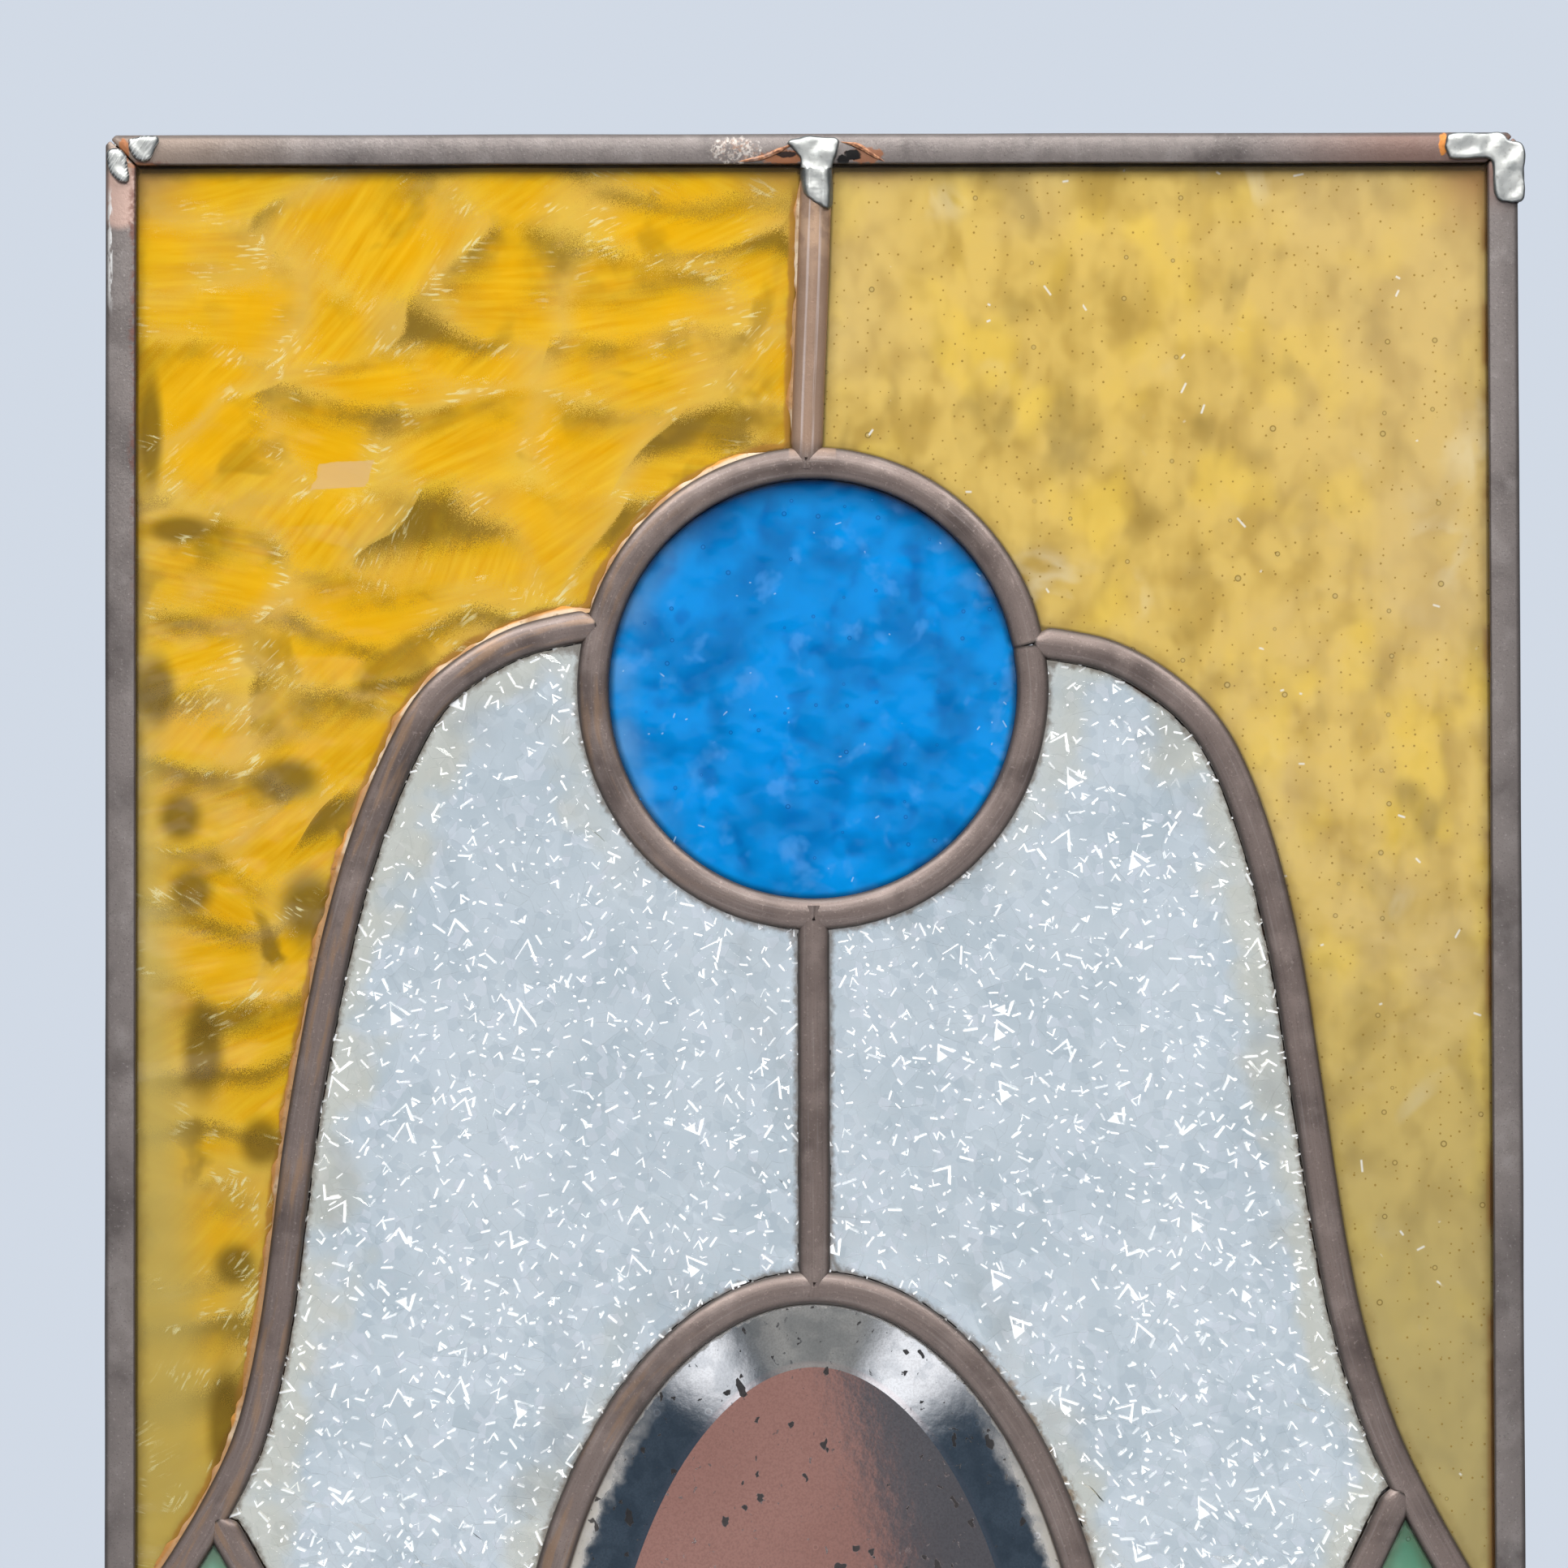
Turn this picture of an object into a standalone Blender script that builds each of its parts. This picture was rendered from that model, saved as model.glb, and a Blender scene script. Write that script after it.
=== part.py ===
"""A leaded stained glass panel, 290 mm wide: two amber fields over a bell of clear crackle glass,
a blue roundel, a bevelled oval mirror and two green leaves, held in lead came and soldered.
The panel stands upright in the XZ plane. Its front faces -Y and its lower edge lies on Z = 0."""

import math
from collections import namedtuple

import bmesh
import bpy
from mathutils import Vector

# All sizes are in metres. PIECE_GAP parts pieces that touch in the real panel.
PIECE_GAP = 0.0003

# The glass, the putty space between it and each leaf of the lead, and its play in the channel.
GLASS_THICKNESS = 0.0030
CEMENT_GAP = 0.0004
EDGE_CLEARANCE = 0.0003

# Round came: an H-shaped lead strip, a heart between two domed leaves.
CAME_WIDTH = 0.0065
CAME_HEART = 0.0016
CAME_CROWN = 0.0014
CAME_LIP = 0.0005

# Edge came round the border: a flat-faced strip, closed on its outer side, its corners knocked off.
BORDER_WIDTH = 0.0062
BORDER_LEAF = 0.0014
BORDER_HEART = 0.0016
CORNER_KNOCK = 0.0020

# The design down its middle line, from the top edge to the bottom edge.
PANEL_WIDTH = 0.2900
TOP_CAME_LENGTH = 0.0677
TOP_CAME_LEAN = 0.0026
ROUNDEL_HALF_WIDTH = 0.0451
ROUNDEL_HALF_HEIGHT = 0.0463
MIDDLE_CAME_LENGTH = 0.0763
MIRROR_HALF_WIDTH = 0.0600
MIRROR_HALF_HEIGHT = 0.1033
BOTTOM_CAME_LENGTH = 0.0368

# The mirror, ground to a thin edge all round.
MIRROR_THICKNESS = 0.0050
MIRROR_BEVEL = 0.0150

# The bell's two long curves were bent by hand, so each has its own numbers. Each leaves the roundel
# at its angle above the horizontal and meets the border at its reach above the mirror's middle.
# Its bends are shares of the way out, and of the way down, from the roundel to the border.
LEFT_CURVE_ANGLE = math.radians(17.0)
LEFT_CURVE_REACH = 0.0342
LEFT_CURVE_BENDS = (
    (0.171, 0.017), (0.317, 0.056), (0.409, 0.108), (0.511, 0.220), (0.586, 0.351),
    (0.654, 0.529), (0.698, 0.690), (0.764, 0.819), (0.892, 0.931),
)
RIGHT_CURVE_ANGLE = math.radians(12.0)
RIGHT_CURVE_REACH = 0.0315
RIGHT_CURVE_BENDS = (
    (0.162, 0.013), (0.303, 0.049), (0.411, 0.104), (0.497, 0.203), (0.562, 0.333),
    (0.622, 0.521), (0.680, 0.675), (0.769, 0.806), (0.903, 0.926),
)

# Each branch leaves its curve at this share of the way down, and runs to the mirror's flank.
LEFT_BRANCH_START = 0.885
LEFT_BRANCH_BENDS = ((0.105, 0.142), (0.290, 0.400), (0.550, 0.690), (0.800, 0.885))
RIGHT_BRANCH_START = 0.844
RIGHT_BRANCH_BENDS = ((0.135, 0.194), (0.300, 0.430), (0.550, 0.700), (0.800, 0.890))
BRANCH_END_ANGLE = math.radians(-14.6)

# The came under each leaf starts on the border, this far below the mirror's middle.
LEAF_DROP = 0.0121
LEAF_BENDS = ((0.161, 0.262), (0.400, 0.620), (0.697, 0.888))
LEAF_END_ANGLE = math.radians(-55.0)

# The two seams where the bent rings close.
ROUNDEL_SEAM_ANGLE = math.radians(11.0)
MIRROR_SEAM_ANGLE = math.radians(-90.0)

# Solder on the joints. The outlines are in border widths, across and down from the joint's place.
SOLDER_RISE = 0.0010
SOLDER_SHOULDER = 0.0004
CORNER_SOLDER = ((0.12, 0.12), (1.80, 0.15), (1.72, 0.84), (0.90, 0.90), (0.84, 1.72), (0.15, 1.80))
TEE_SOLDER = (
    (-0.90, 0.14), (0.90, 0.14), (0.80, 0.78), (0.44, 1.05), (0.40, 1.80),
    (-0.40, 1.80), (-0.44, 1.05), (-0.80, 0.78),
)
CRACKED_HEAD_SOLDER = ((0.74, 0.14), (1.50, 0.08), (1.45, 0.45), (1.30, 0.86), (0.96, 0.76))
CRACKED_SIDE_SOLDER = ((0.10, 0.58), (0.50, 0.52), (0.74, 1.00), (0.74, 1.56), (0.20, 1.25))
TORN_TEE_SOLDER = (
    (-1.05, 0.32), (-0.58, 0.13), (0.60, 0.13), (0.63, 0.48), (0.44, 1.29),
    (0.44, 2.34), (0.19, 2.45), (-0.48, 1.94), (-0.58, 0.81),
)
LAPPED_CORNER_SOLDER = (
    (-2.34, 0.10), (-1.61, 0.05), (-0.89, 0.03), (-0.52, 0.04), (-0.34, 0.28), (0.03, 0.36),
    (0.18, 0.61), (0.16, 1.37), (0.13, 2.23), (-0.55, 2.31), (-0.76, 1.94), (-0.79, 1.21),
    (-0.86, 0.90), (-1.29, 0.82), (-2.23, 0.84),
)

# How finely the curves are drawn.
ROUNDEL_STEPS = 36
MIRROR_STEPS = 44
CURVE_STEPS = 2
DOME_STEPS = 4

# What follows from the sizes above. Depths are measured from the middle of the glass.
CHANNEL = GLASS_THICKNESS / 2 + CEMENT_GAP
BORDER_DEPTH = CHANNEL + BORDER_LEAF
LEAD_DEPTH = max(CHANNEL + CAME_CROWN, BORDER_DEPTH)
PANE_SETBACK = CAME_HEART / 2 + EDGE_CLEARANCE
CAME_CLEAR = CAME_WIDTH / 2 + PIECE_GAP
CUT_DEPTH = 2 * (LEAD_DEPTH + SOLDER_RISE + MIRROR_THICKNESS)
PANEL_HEIGHT = (
    TOP_CAME_LENGTH
    + 2 * ROUNDEL_HALF_HEIGHT
    + MIDDLE_CAME_LENGTH
    + 2 * MIRROR_HALF_HEIGHT
    + BOTTOM_CAME_LENGTH
)
HALF_WIDTH = PANEL_WIDTH / 2
ROUNDEL_CENTRE = Vector((0, PANEL_HEIGHT - TOP_CAME_LENGTH - ROUNDEL_HALF_HEIGHT))
MIRROR_CENTRE = Vector((0, BOTTOM_CAME_LENGTH + MIRROR_HALF_HEIGHT))
BEYOND = PANEL_WIDTH + PANEL_HEIGHT
RUN_ON = 3 * BORDER_WIDTH
TOP_LINE = [
    Vector((TOP_CAME_LEAN / 2, PANEL_HEIGHT)),
    Vector((-TOP_CAME_LEAN / 2, PANEL_HEIGHT - TOP_CAME_LENGTH)),
    Vector((-TOP_CAME_LEAN / 2, ROUNDEL_CENTRE.y)),
]
Half = namedtuple(
    "Half", "word side curve_angle curve_reach curve_bends branch_start branch_bends amber"
)

# Each finish: its name, colour, roughness and metallic value.
LEAD = ("lead", (0.130, 0.105, 0.098), 0.55, 0.85)
SOLDER = ("solder", (0.520, 0.520, 0.510), 0.35, 0.95)
DEEP_AMBER = ("deep_amber_glass", (0.900, 0.520, 0.020), 0.08, 0.0)
PALE_AMBER = ("pale_amber_glass", (0.830, 0.600, 0.160), 0.10, 0.0)
BLUE = ("blue_glass", (0.005, 0.230, 0.700), 0.10, 0.0)
CRACKLE = ("crackle_glass", (0.620, 0.680, 0.720), 0.10, 0.0)
SILVERED = ("mirror", (0.550, 0.520, 0.510), 0.05, 1.0)
GREEN = ("green_glass", (0.250, 0.500, 0.320), 0.10, 0.0)


def clear_scene():
    for old in list(bpy.data.objects):
        bpy.data.objects.remove(old, do_unlink=True)


def material(finish):
    name, colour, roughness, metallic = finish
    if name in bpy.data.materials:
        return bpy.data.materials[name]
    made = bpy.data.materials.new(name)
    made.use_nodes = True
    shader = made.node_tree.nodes["Principled BSDF"]
    shader.inputs["Base Color"].default_value = (*colour, 1.0)
    shader.inputs["Roughness"].default_value = roughness
    shader.inputs["Metallic"].default_value = metallic
    return made


def add_object(name, bm, finish=None):
    """Makes the bmesh an object, facing outwards and smooth but for its real edges."""
    bmesh.ops.recalc_face_normals(bm, faces=bm.faces)
    mesh = bpy.data.meshes.new(name)
    bm.to_mesh(mesh)
    bm.free()
    mesh.shade_smooth()
    mesh.set_sharp_from_angle(angle=math.radians(35))
    made = bpy.data.objects.new(name, mesh)
    bpy.context.scene.collection.objects.link(made)
    if finish:
        mesh.materials.append(material(finish))
    return made


def on_ellipse(centre, half_width, half_height, angle):
    return centre + Vector((half_width * math.cos(angle), half_height * math.sin(angle)))


def round_ellipse(centre, half_width, half_height, steps, start=0.0, seam=0.0):
    """Places round an ellipse, each with the unit vector out from it. A seam leaves its ends apart."""
    spread = steps + 1 if seam else steps
    places = []
    for step in range(spread):
        angle = start + seam + (2 * math.pi - 2 * seam) * step / steps
        outward = Vector((math.cos(angle) / half_width, math.sin(angle) / half_height))
        places.append((on_ellipse(centre, half_width, half_height, angle), outward.normalized()))
    return places


def roundel_outline(offset):
    places = round_ellipse(ROUNDEL_CENTRE, ROUNDEL_HALF_WIDTH, ROUNDEL_HALF_HEIGHT, ROUNDEL_STEPS)
    return [place + outward * offset for place, outward in places]


def mirror_outline(offset):
    places = round_ellipse(MIRROR_CENTRE, MIRROR_HALF_WIDTH, MIRROR_HALF_HEIGHT, MIRROR_STEPS)
    return [place + outward * offset for place, outward in places]


def smooth_points(knots):
    """A smooth line from the second of these knots to the last but one, without its last point."""
    line = []
    for before, here, there, after in zip(knots, knots[1:], knots[2:], knots[3:]):
        for step in range(CURVE_STEPS):
            t = step / CURVE_STEPS
            line.append(
                here
                + (there - before) * (t / 2)
                + (2 * before - 5 * here + 4 * there - after) * (t * t / 2)
                + (3 * here - before - 3 * there + after) * (t**3 / 2)
            )
    return line


def smooth_loop(knots):
    return smooth_points([knots[-1], *knots, *knots[:2]])


def line_between(start, end, bends):
    """A smooth line from start to end. Each bend is a share of the way across and of the way down."""
    way = end - start
    knots = [start, *(start + Vector((way.x * across, way.y * down)) for across, down in bends), end]
    ends = [2 * knots[0] - knots[1], *knots, 2 * knots[-1] - knots[-2]]
    return [*smooth_points(ends), end]


def point_on(line, share):
    """The point of the line at this share of its way down."""
    height = line[0].y + share * (line[-1].y - line[0].y)
    for here, there in zip(line, line[1:]):
        if here.y >= height > there.y:
            return here.lerp(there, (here.y - height) / (here.y - there.y))
    return line[-1]


def run_on(line):
    """The line, carried straight on past both its ends, through the came that it meets there."""
    first = line[0] + (line[0] - line[1]).normalized() * RUN_ON
    last = line[-1] + (line[-1] - line[-2]).normalized() * RUN_ON
    return [first, *line, last]


def across_at(line, index):
    """The unit vector across the line at one of its points."""
    way = line[min(index + 1, len(line) - 1)] - line[max(index - 1, 0)]
    return Vector((-way.y, way.x)).normalized()


def region(line, corners, grow):
    """The outline of what lies between the line and the corners, with its edge on the line moved out."""
    outline = [*line, *corners]
    area = sum(a.x * b.y - b.x * a.y for a, b in zip(outline, outline[1:] + outline[:1]))
    outward = -grow if area > 0 else grow
    return [*(point + across_at(line, i) * outward for i, point in enumerate(line)), *corners]


def above(line, grow):
    """The region over the line, up past the panel's top edge."""
    return region(line, [Vector((line[-1].x, BEYOND)), Vector((line[0].x, BEYOND))], grow)


def below(line, grow):
    return region(line, [Vector((line[-1].x, -BEYOND)), Vector((line[0].x, -BEYOND))], grow)


def beside(line, side, grow):
    """The region on one side of a line that runs down the panel."""
    far = side * BEYOND
    return region(line, [Vector((far, line[-1].y)), Vector((far, line[0].y))], grow)


def rectangle(inset):
    """The panel's own outline, moved in by the inset."""
    wide = HALF_WIDTH - inset
    high = PANEL_HEIGHT - inset
    return [Vector((-wide, inset)), Vector((wide, inset)), Vector((wide, high)), Vector((-wide, high))]


def loft(rings):
    """A solid through these rings of points, closed at its first ring and at its last."""
    bm = bmesh.new()
    rings = [[bm.verts.new(point) for point in ring] for ring in rings]
    for here, there in zip(rings, rings[1:]):
        for i in range(len(here)):
            bm.faces.new((here[i - 1], here[i], there[i], there[i - 1]))
    bm.faces.new(rings[0])
    bm.faces.new(rings[-1])
    return bm


def prism(outline, front, back):
    return loft([[(point.x, depth, point.y) for point in outline] for depth in (front, back)])


def cutter(name, outline, depth=CUT_DEPTH):
    made = add_object(name, prism(outline, -depth, depth))
    made.hide_render = True
    made.display_type = "WIRE"
    return made


def cut(target, cutters, operation="DIFFERENCE"):
    for other in cutters:
        modifier = target.modifiers.new(f"{operation.lower()}_{other.name}", "BOOLEAN")
        modifier.operation = operation
        modifier.solver = "EXACT"
        modifier.object = other


def came_section():
    """The H of the round came, as points across and through the panel: two domed leaves on a heart."""
    half = CAME_WIDTH / 2
    heart = CAME_HEART / 2
    points = []
    for step in range(DOME_STEPS + 1):
        across = 2 * step / DOME_STEPS - 1
        rise = CAME_LIP + (CAME_CROWN - CAME_LIP) * (1 - across * across)
        points.append((half * across, -CHANNEL - rise))
    points += [(half, -CHANNEL), (heart, -CHANNEL), (heart, CHANNEL), (half, CHANNEL)]
    return [*points, *((-across, -through) for across, through in points)]


def came(name, stations, trims=(), inside=None):
    """A length of round came through places with their vectors across, its ends cut to fit."""
    rings = []
    for place, across in stations:
        points = [(place + across * sideways, through) for sideways, through in came_section()]
        rings.append([(point.x, through, point.y) for point, through in points])
    made = add_object(name, loft(rings), LEAD)
    if inside:
        cut(made, [inside], "INTERSECT")
    cut(made, trims)
    return made


def came_along(name, line, trims=(), inside=None):
    return came(name, [(place, across_at(line, i)) for i, place in enumerate(line)], trims, inside)


def border_side(name, corner, along, inward, length):
    """One side of the border: edge came, mitred at both ends, with each corner knocked off."""
    section = [
        (0, -BORDER_DEPTH),
        (BORDER_WIDTH, -BORDER_DEPTH),
        (BORDER_WIDTH, -CHANNEL),
        (BORDER_HEART, -CHANNEL),
        (BORDER_HEART, CHANNEL),
        (BORDER_WIDTH, CHANNEL),
        (BORDER_WIDTH, BORDER_DEPTH),
        (0, BORDER_DEPTH),
    ]
    rings = []
    for end in (corner, corner + along * length):
        points = [(end + inward * depth, through) for depth, through in section]
        rings.append([(point.x, through, point.y) for point, through in points])
    bm = loft(rings)
    for end, way in ((corner, along), (corner + along * length, -along)):
        mitre = (end + way * (PIECE_GAP / math.sqrt(2)), inward - way)
        knock = (end + way * CORNER_KNOCK, -inward - way)
        for place, normal in (mitre, knock):
            sliced = bmesh.ops.bisect_plane(
                bm,
                geom=[*bm.verts, *bm.edges, *bm.faces],
                plane_co=(place.x, 0, place.y),
                plane_no=(normal.x, 0, normal.y),
                clear_outer=True,
            )
            rim = [part for part in sliced["geom_cut"] if isinstance(part, bmesh.types.BMEdge)]
            bmesh.ops.holes_fill(bm, edges=rim, sides=0)
    return add_object(name, bm, LEAD)


def pane(name, finish, outline, cutters=()):
    """A flat pane of glass: its outline less what the cutters take away."""
    made = add_object(name, prism(outline, -GLASS_THICKNESS / 2, GLASS_THICKNESS / 2), finish)
    cut(made, cutters)
    return made


def bevelled_mirror(name):
    """The oval mirror: flat behind, as thin as the panes at its edge, its front ground in a bevel."""
    back = GLASS_THICKNESS / 2
    edge = mirror_outline(-PANE_SETBACK)
    facet = mirror_outline(-PANE_SETBACK - MIRROR_BEVEL)
    layers = ((edge, back), (edge, -back), (facet, back - MIRROR_THICKNESS))
    rings = [[(point.x, depth, point.y) for point in outline] for outline, depth in layers]
    return add_object(name, loft(rings), SILVERED)


def solder_outline(shape, place, side=1, down=1):
    """A rounded outline, its points given in border widths from a place on the panel's edge."""
    knots = [place + Vector((side * across, -down * drop)) * BORDER_WIDTH for across, drop in shape]
    return smooth_loop(knots)


def solder_patch(name, outline, face=-1):
    """Solder lying on the lead's front, or behind it where face is 1."""
    low = face * (LEAD_DEPTH + PIECE_GAP)
    middle = low + face * SOLDER_RISE / 2
    bm = prism(outline, low, middle)
    bmesh.ops.recalc_face_normals(bm, faces=bm.faces)
    bm.faces.ensure_lookup_table()
    top = bm.faces[-1]
    bmesh.ops.inset_region(bm, faces=[top], thickness=SOLDER_SHOULDER, depth=SOLDER_RISE / 2)
    return add_object(name, bm, SOLDER)


def lapped_corner(name, outline, corner):
    """Solder lapped over a corner of the border, on its front, its outer side and its back."""
    outside = LEAD_DEPTH + PIECE_GAP + SOLDER_RISE
    made = add_object(name, prism(outline, -outside, outside), SOLDER)
    reach = corner + Vector((PIECE_GAP, PIECE_GAP))
    low = corner - Vector((BEYOND, BEYOND))
    lead = [low, Vector((reach.x, low.y)), reach, Vector((low.x, reach.y))]
    cut(made, [cutter(f"inside_{name}", lead, LEAD_DEPTH + PIECE_GAP)])
    return made


def build_border():
    corners = [
        Vector((-HALF_WIDTH, PANEL_HEIGHT)),
        Vector((HALF_WIDTH, PANEL_HEIGHT)),
        Vector((HALF_WIDTH, 0)),
        Vector((-HALF_WIDTH, 0)),
    ]
    names = ("border_top", "border_right", "border_bottom", "border_left")
    for name, corner, following in zip(names, corners, corners[1:] + corners[:1]):
        run = following - corner
        along = run.normalized()
        border_side(name, corner, along, Vector((along.y, -along.x)), run.length)


def build_middle(inside, around_roundel, around_mirror):
    """The ring and roundel, the oval and mirror, and the three straight cames between them."""
    roundel = (ROUNDEL_CENTRE, ROUNDEL_HALF_WIDTH, ROUNDEL_HALF_HEIGHT, ROUNDEL_STEPS)
    mirror = (MIRROR_CENTRE, MIRROR_HALF_WIDTH, MIRROR_HALF_HEIGHT, MIRROR_STEPS)
    roundel_seam = PIECE_GAP / (ROUNDEL_HALF_WIDTH + ROUNDEL_HALF_HEIGHT)
    mirror_seam = PIECE_GAP / (2 * MIRROR_HALF_WIDTH)
    came("roundel_ring", round_ellipse(*roundel, ROUNDEL_SEAM_ANGLE, roundel_seam))
    came("mirror_ring", round_ellipse(*mirror, MIRROR_SEAM_ANGLE, mirror_seam))
    pane("blue_roundel", BLUE, roundel_outline(-PANE_SETBACK))
    bevelled_mirror("bevelled_mirror")
    came_along("came_top_centre", TOP_LINE, [around_roundel], inside)
    came_along("came_middle_centre", [ROUNDEL_CENTRE, MIRROR_CENTRE], [around_roundel, around_mirror])
    came_along("came_bottom_centre", [MIRROR_CENTRE, Vector((0, 0))], [around_mirror], inside)


def build_half(half, inside, around_roundel, around_mirror):
    """The lead and the glass of the panel's left half, or of its right half."""
    word, side = half.word, half.side
    border_x = side * (HALF_WIDTH - BORDER_WIDTH)

    def mirror_flank(angle):
        return on_ellipse(MIRROR_CENTRE, side * MIRROR_HALF_WIDTH, MIRROR_HALF_HEIGHT, angle)

    roundel_flank = on_ellipse(
        ROUNDEL_CENTRE, side * ROUNDEL_HALF_WIDTH, ROUNDEL_HALF_HEIGHT, half.curve_angle
    )
    border_reach = Vector((border_x, MIRROR_CENTRE.y + half.curve_reach))
    curve = line_between(roundel_flank, border_reach, half.curve_bends)
    fork = point_on(curve, half.branch_start)
    branch = line_between(fork, mirror_flank(BRANCH_END_ANGLE), half.branch_bends)
    leaf_foot = Vector((border_x, MIRROR_CENTRE.y - LEAF_DROP))
    leaf = line_between(leaf_foot, mirror_flank(LEAF_END_ANGLE), LEAF_BENDS)
    curve, branch, leaf = run_on(curve), run_on(branch), run_on(leaf)

    over_curve = cutter(f"over_curve_{word}", above(curve, CAME_CLEAR))
    came_along(f"curve_{word}", curve, [around_roundel], inside)
    came_along(f"branch_{word}", branch, [over_curve, around_mirror])
    came_along(f"leaf_base_{word}", leaf, [around_mirror], inside)

    # The panes stop short of every line of lead, so each line runs on into its ring and past the border.
    curve = [ROUNDEL_CENTRE, *curve]
    branch = [Vector((side * BEYOND, branch[0].y)), *branch, MIRROR_CENTRE]
    leaf = [*leaf, MIRROR_CENTRE]

    def off(name, outline):
        return cutter(f"{name}_{word}", outline)

    off_roundel = off("off_roundel", roundel_outline(PANE_SETBACK))
    off_mirror = off("off_mirror", mirror_outline(PANE_SETBACK))
    off_top = off("off_top", beside([*TOP_LINE, Vector((0, 0))], -side, PANE_SETBACK))
    off_middle = off("off_middle", beside([Vector((0, PANEL_HEIGHT)), Vector((0, 0))], -side, PANE_SETBACK))
    over_curve = off("over_curve_edge", above(curve, PANE_SETBACK))
    under_curve = off("under_curve_edge", below(curve, PANE_SETBACK))
    over_branch = off("over_branch_edge", above(branch, PANE_SETBACK))
    under_branch = off("under_branch_edge", below(branch, PANE_SETBACK))
    over_leaf = off("over_leaf_edge", above(leaf, PANE_SETBACK))
    under_leaf = off("under_leaf_edge", below(leaf, PANE_SETBACK))

    field = rectangle(BORDER_HEART + EDGE_CLEARANCE)
    pane(f"upper_amber_{word}", half.amber, field, [off_top, off_roundel, under_curve])
    pane(
        f"crackle_{word}", CRACKLE, field, [off_middle, off_roundel, off_mirror, over_curve, under_branch]
    )
    pane(f"leaf_{word}", GREEN, field, [off_middle, off_mirror, over_curve, over_branch, under_leaf])
    pane(f"lower_amber_{word}", half.amber, field, [off_middle, off_mirror, over_leaf])


def build_solder():
    top_left = Vector((-HALF_WIDTH, PANEL_HEIGHT))
    top_right = Vector((HALF_WIDTH, PANEL_HEIGHT))
    top_middle = Vector((0, PANEL_HEIGHT))
    bottom_left = Vector((-HALF_WIDTH, 0))
    bottom_right = Vector((HALF_WIDTH, 0))
    bottom_middle = Vector((0, 0))
    solder_patch("solder_top_left_head", solder_outline(CRACKED_HEAD_SOLDER, top_left))
    solder_patch("solder_top_left_side", solder_outline(CRACKED_SIDE_SOLDER, top_left))
    solder_patch("solder_top_centre", solder_outline(TORN_TEE_SOLDER, TOP_LINE[0]))
    lapped_corner("solder_top_right", solder_outline(LAPPED_CORNER_SOLDER, top_right), top_right)
    for where, face in (("", -1), ("back_", 1)):
        for name, shape, place, side in (
            ("bottom_left", CORNER_SOLDER, bottom_left, 1),
            ("bottom_centre", TEE_SOLDER, bottom_middle, 1),
            ("bottom_right", CORNER_SOLDER, bottom_right, -1),
        ):
            solder_patch(f"solder_{where}{name}", solder_outline(shape, place, side, -1), face)
    solder_patch("solder_back_top_left", solder_outline(CORNER_SOLDER, top_left), 1)
    solder_patch("solder_back_top_centre", solder_outline(TEE_SOLDER, top_middle), 1)


def build_panel():
    clear_scene()
    inside = cutter("inside_border", rectangle(BORDER_WIDTH + PIECE_GAP))
    around_roundel = cutter("around_roundel", roundel_outline(CAME_CLEAR))
    around_mirror = cutter("around_mirror", mirror_outline(CAME_CLEAR))
    build_border()
    build_middle(inside, around_roundel, around_mirror)
    left = Half(
        "left", -1, LEFT_CURVE_ANGLE, LEFT_CURVE_REACH, LEFT_CURVE_BENDS,
        LEFT_BRANCH_START, LEFT_BRANCH_BENDS, DEEP_AMBER,
    )
    right = Half(
        "right", 1, RIGHT_CURVE_ANGLE, RIGHT_CURVE_REACH, RIGHT_CURVE_BENDS,
        RIGHT_BRANCH_START, RIGHT_BRANCH_BENDS, PALE_AMBER,
    )
    for half in (left, right):
        build_half(half, inside, around_roundel, around_mirror)
    build_solder()


build_panel()
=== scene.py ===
"""The looks of a leaded stained glass panel: old lead and solder, rippled, seedy and hammered glass,
crackle glass and a bevelled mirror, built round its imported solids. Metres, +Z up, the front faces -Y."""

import math
import random

import bmesh
import bpy
from mathutils import Matrix, Vector, kdtree, noise


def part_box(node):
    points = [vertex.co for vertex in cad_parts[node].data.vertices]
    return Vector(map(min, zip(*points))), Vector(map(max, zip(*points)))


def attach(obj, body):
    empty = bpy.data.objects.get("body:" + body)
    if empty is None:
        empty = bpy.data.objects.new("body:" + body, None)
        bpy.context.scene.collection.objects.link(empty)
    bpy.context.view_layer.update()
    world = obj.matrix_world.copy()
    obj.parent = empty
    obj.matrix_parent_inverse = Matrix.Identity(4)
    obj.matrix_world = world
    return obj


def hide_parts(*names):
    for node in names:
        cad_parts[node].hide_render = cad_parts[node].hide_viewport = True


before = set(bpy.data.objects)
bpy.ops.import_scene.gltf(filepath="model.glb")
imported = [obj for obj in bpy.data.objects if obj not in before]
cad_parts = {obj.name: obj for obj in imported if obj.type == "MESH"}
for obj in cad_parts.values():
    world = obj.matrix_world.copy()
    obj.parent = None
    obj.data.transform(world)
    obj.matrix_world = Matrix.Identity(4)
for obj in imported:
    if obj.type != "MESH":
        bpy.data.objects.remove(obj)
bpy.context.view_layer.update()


# The border: four lengths of flat-faced edge came, milled from lead, mitred at the corners.
# Lead turns brown-grey with age. Each length keeps the small waves that it got as it was stretched.
BORDER_WIDTH = 0.0062
BORDER_EDGE_ROUNDING = 0.00035
BORDER_SPAN = 0.0022
BORDER_WAVE = 0.00009
DARK_LEAD = (0.100, 0.084, 0.080)
PLAIN_LEAD = (0.215, 0.186, 0.176)
PALE_LEAD = (0.40, 0.365, 0.350)
BROWN_LEAD = (0.225, 0.122, 0.092)
RUST = (0.36, 0.125, 0.040)
SHARP_ANGLE = math.radians(38)


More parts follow.
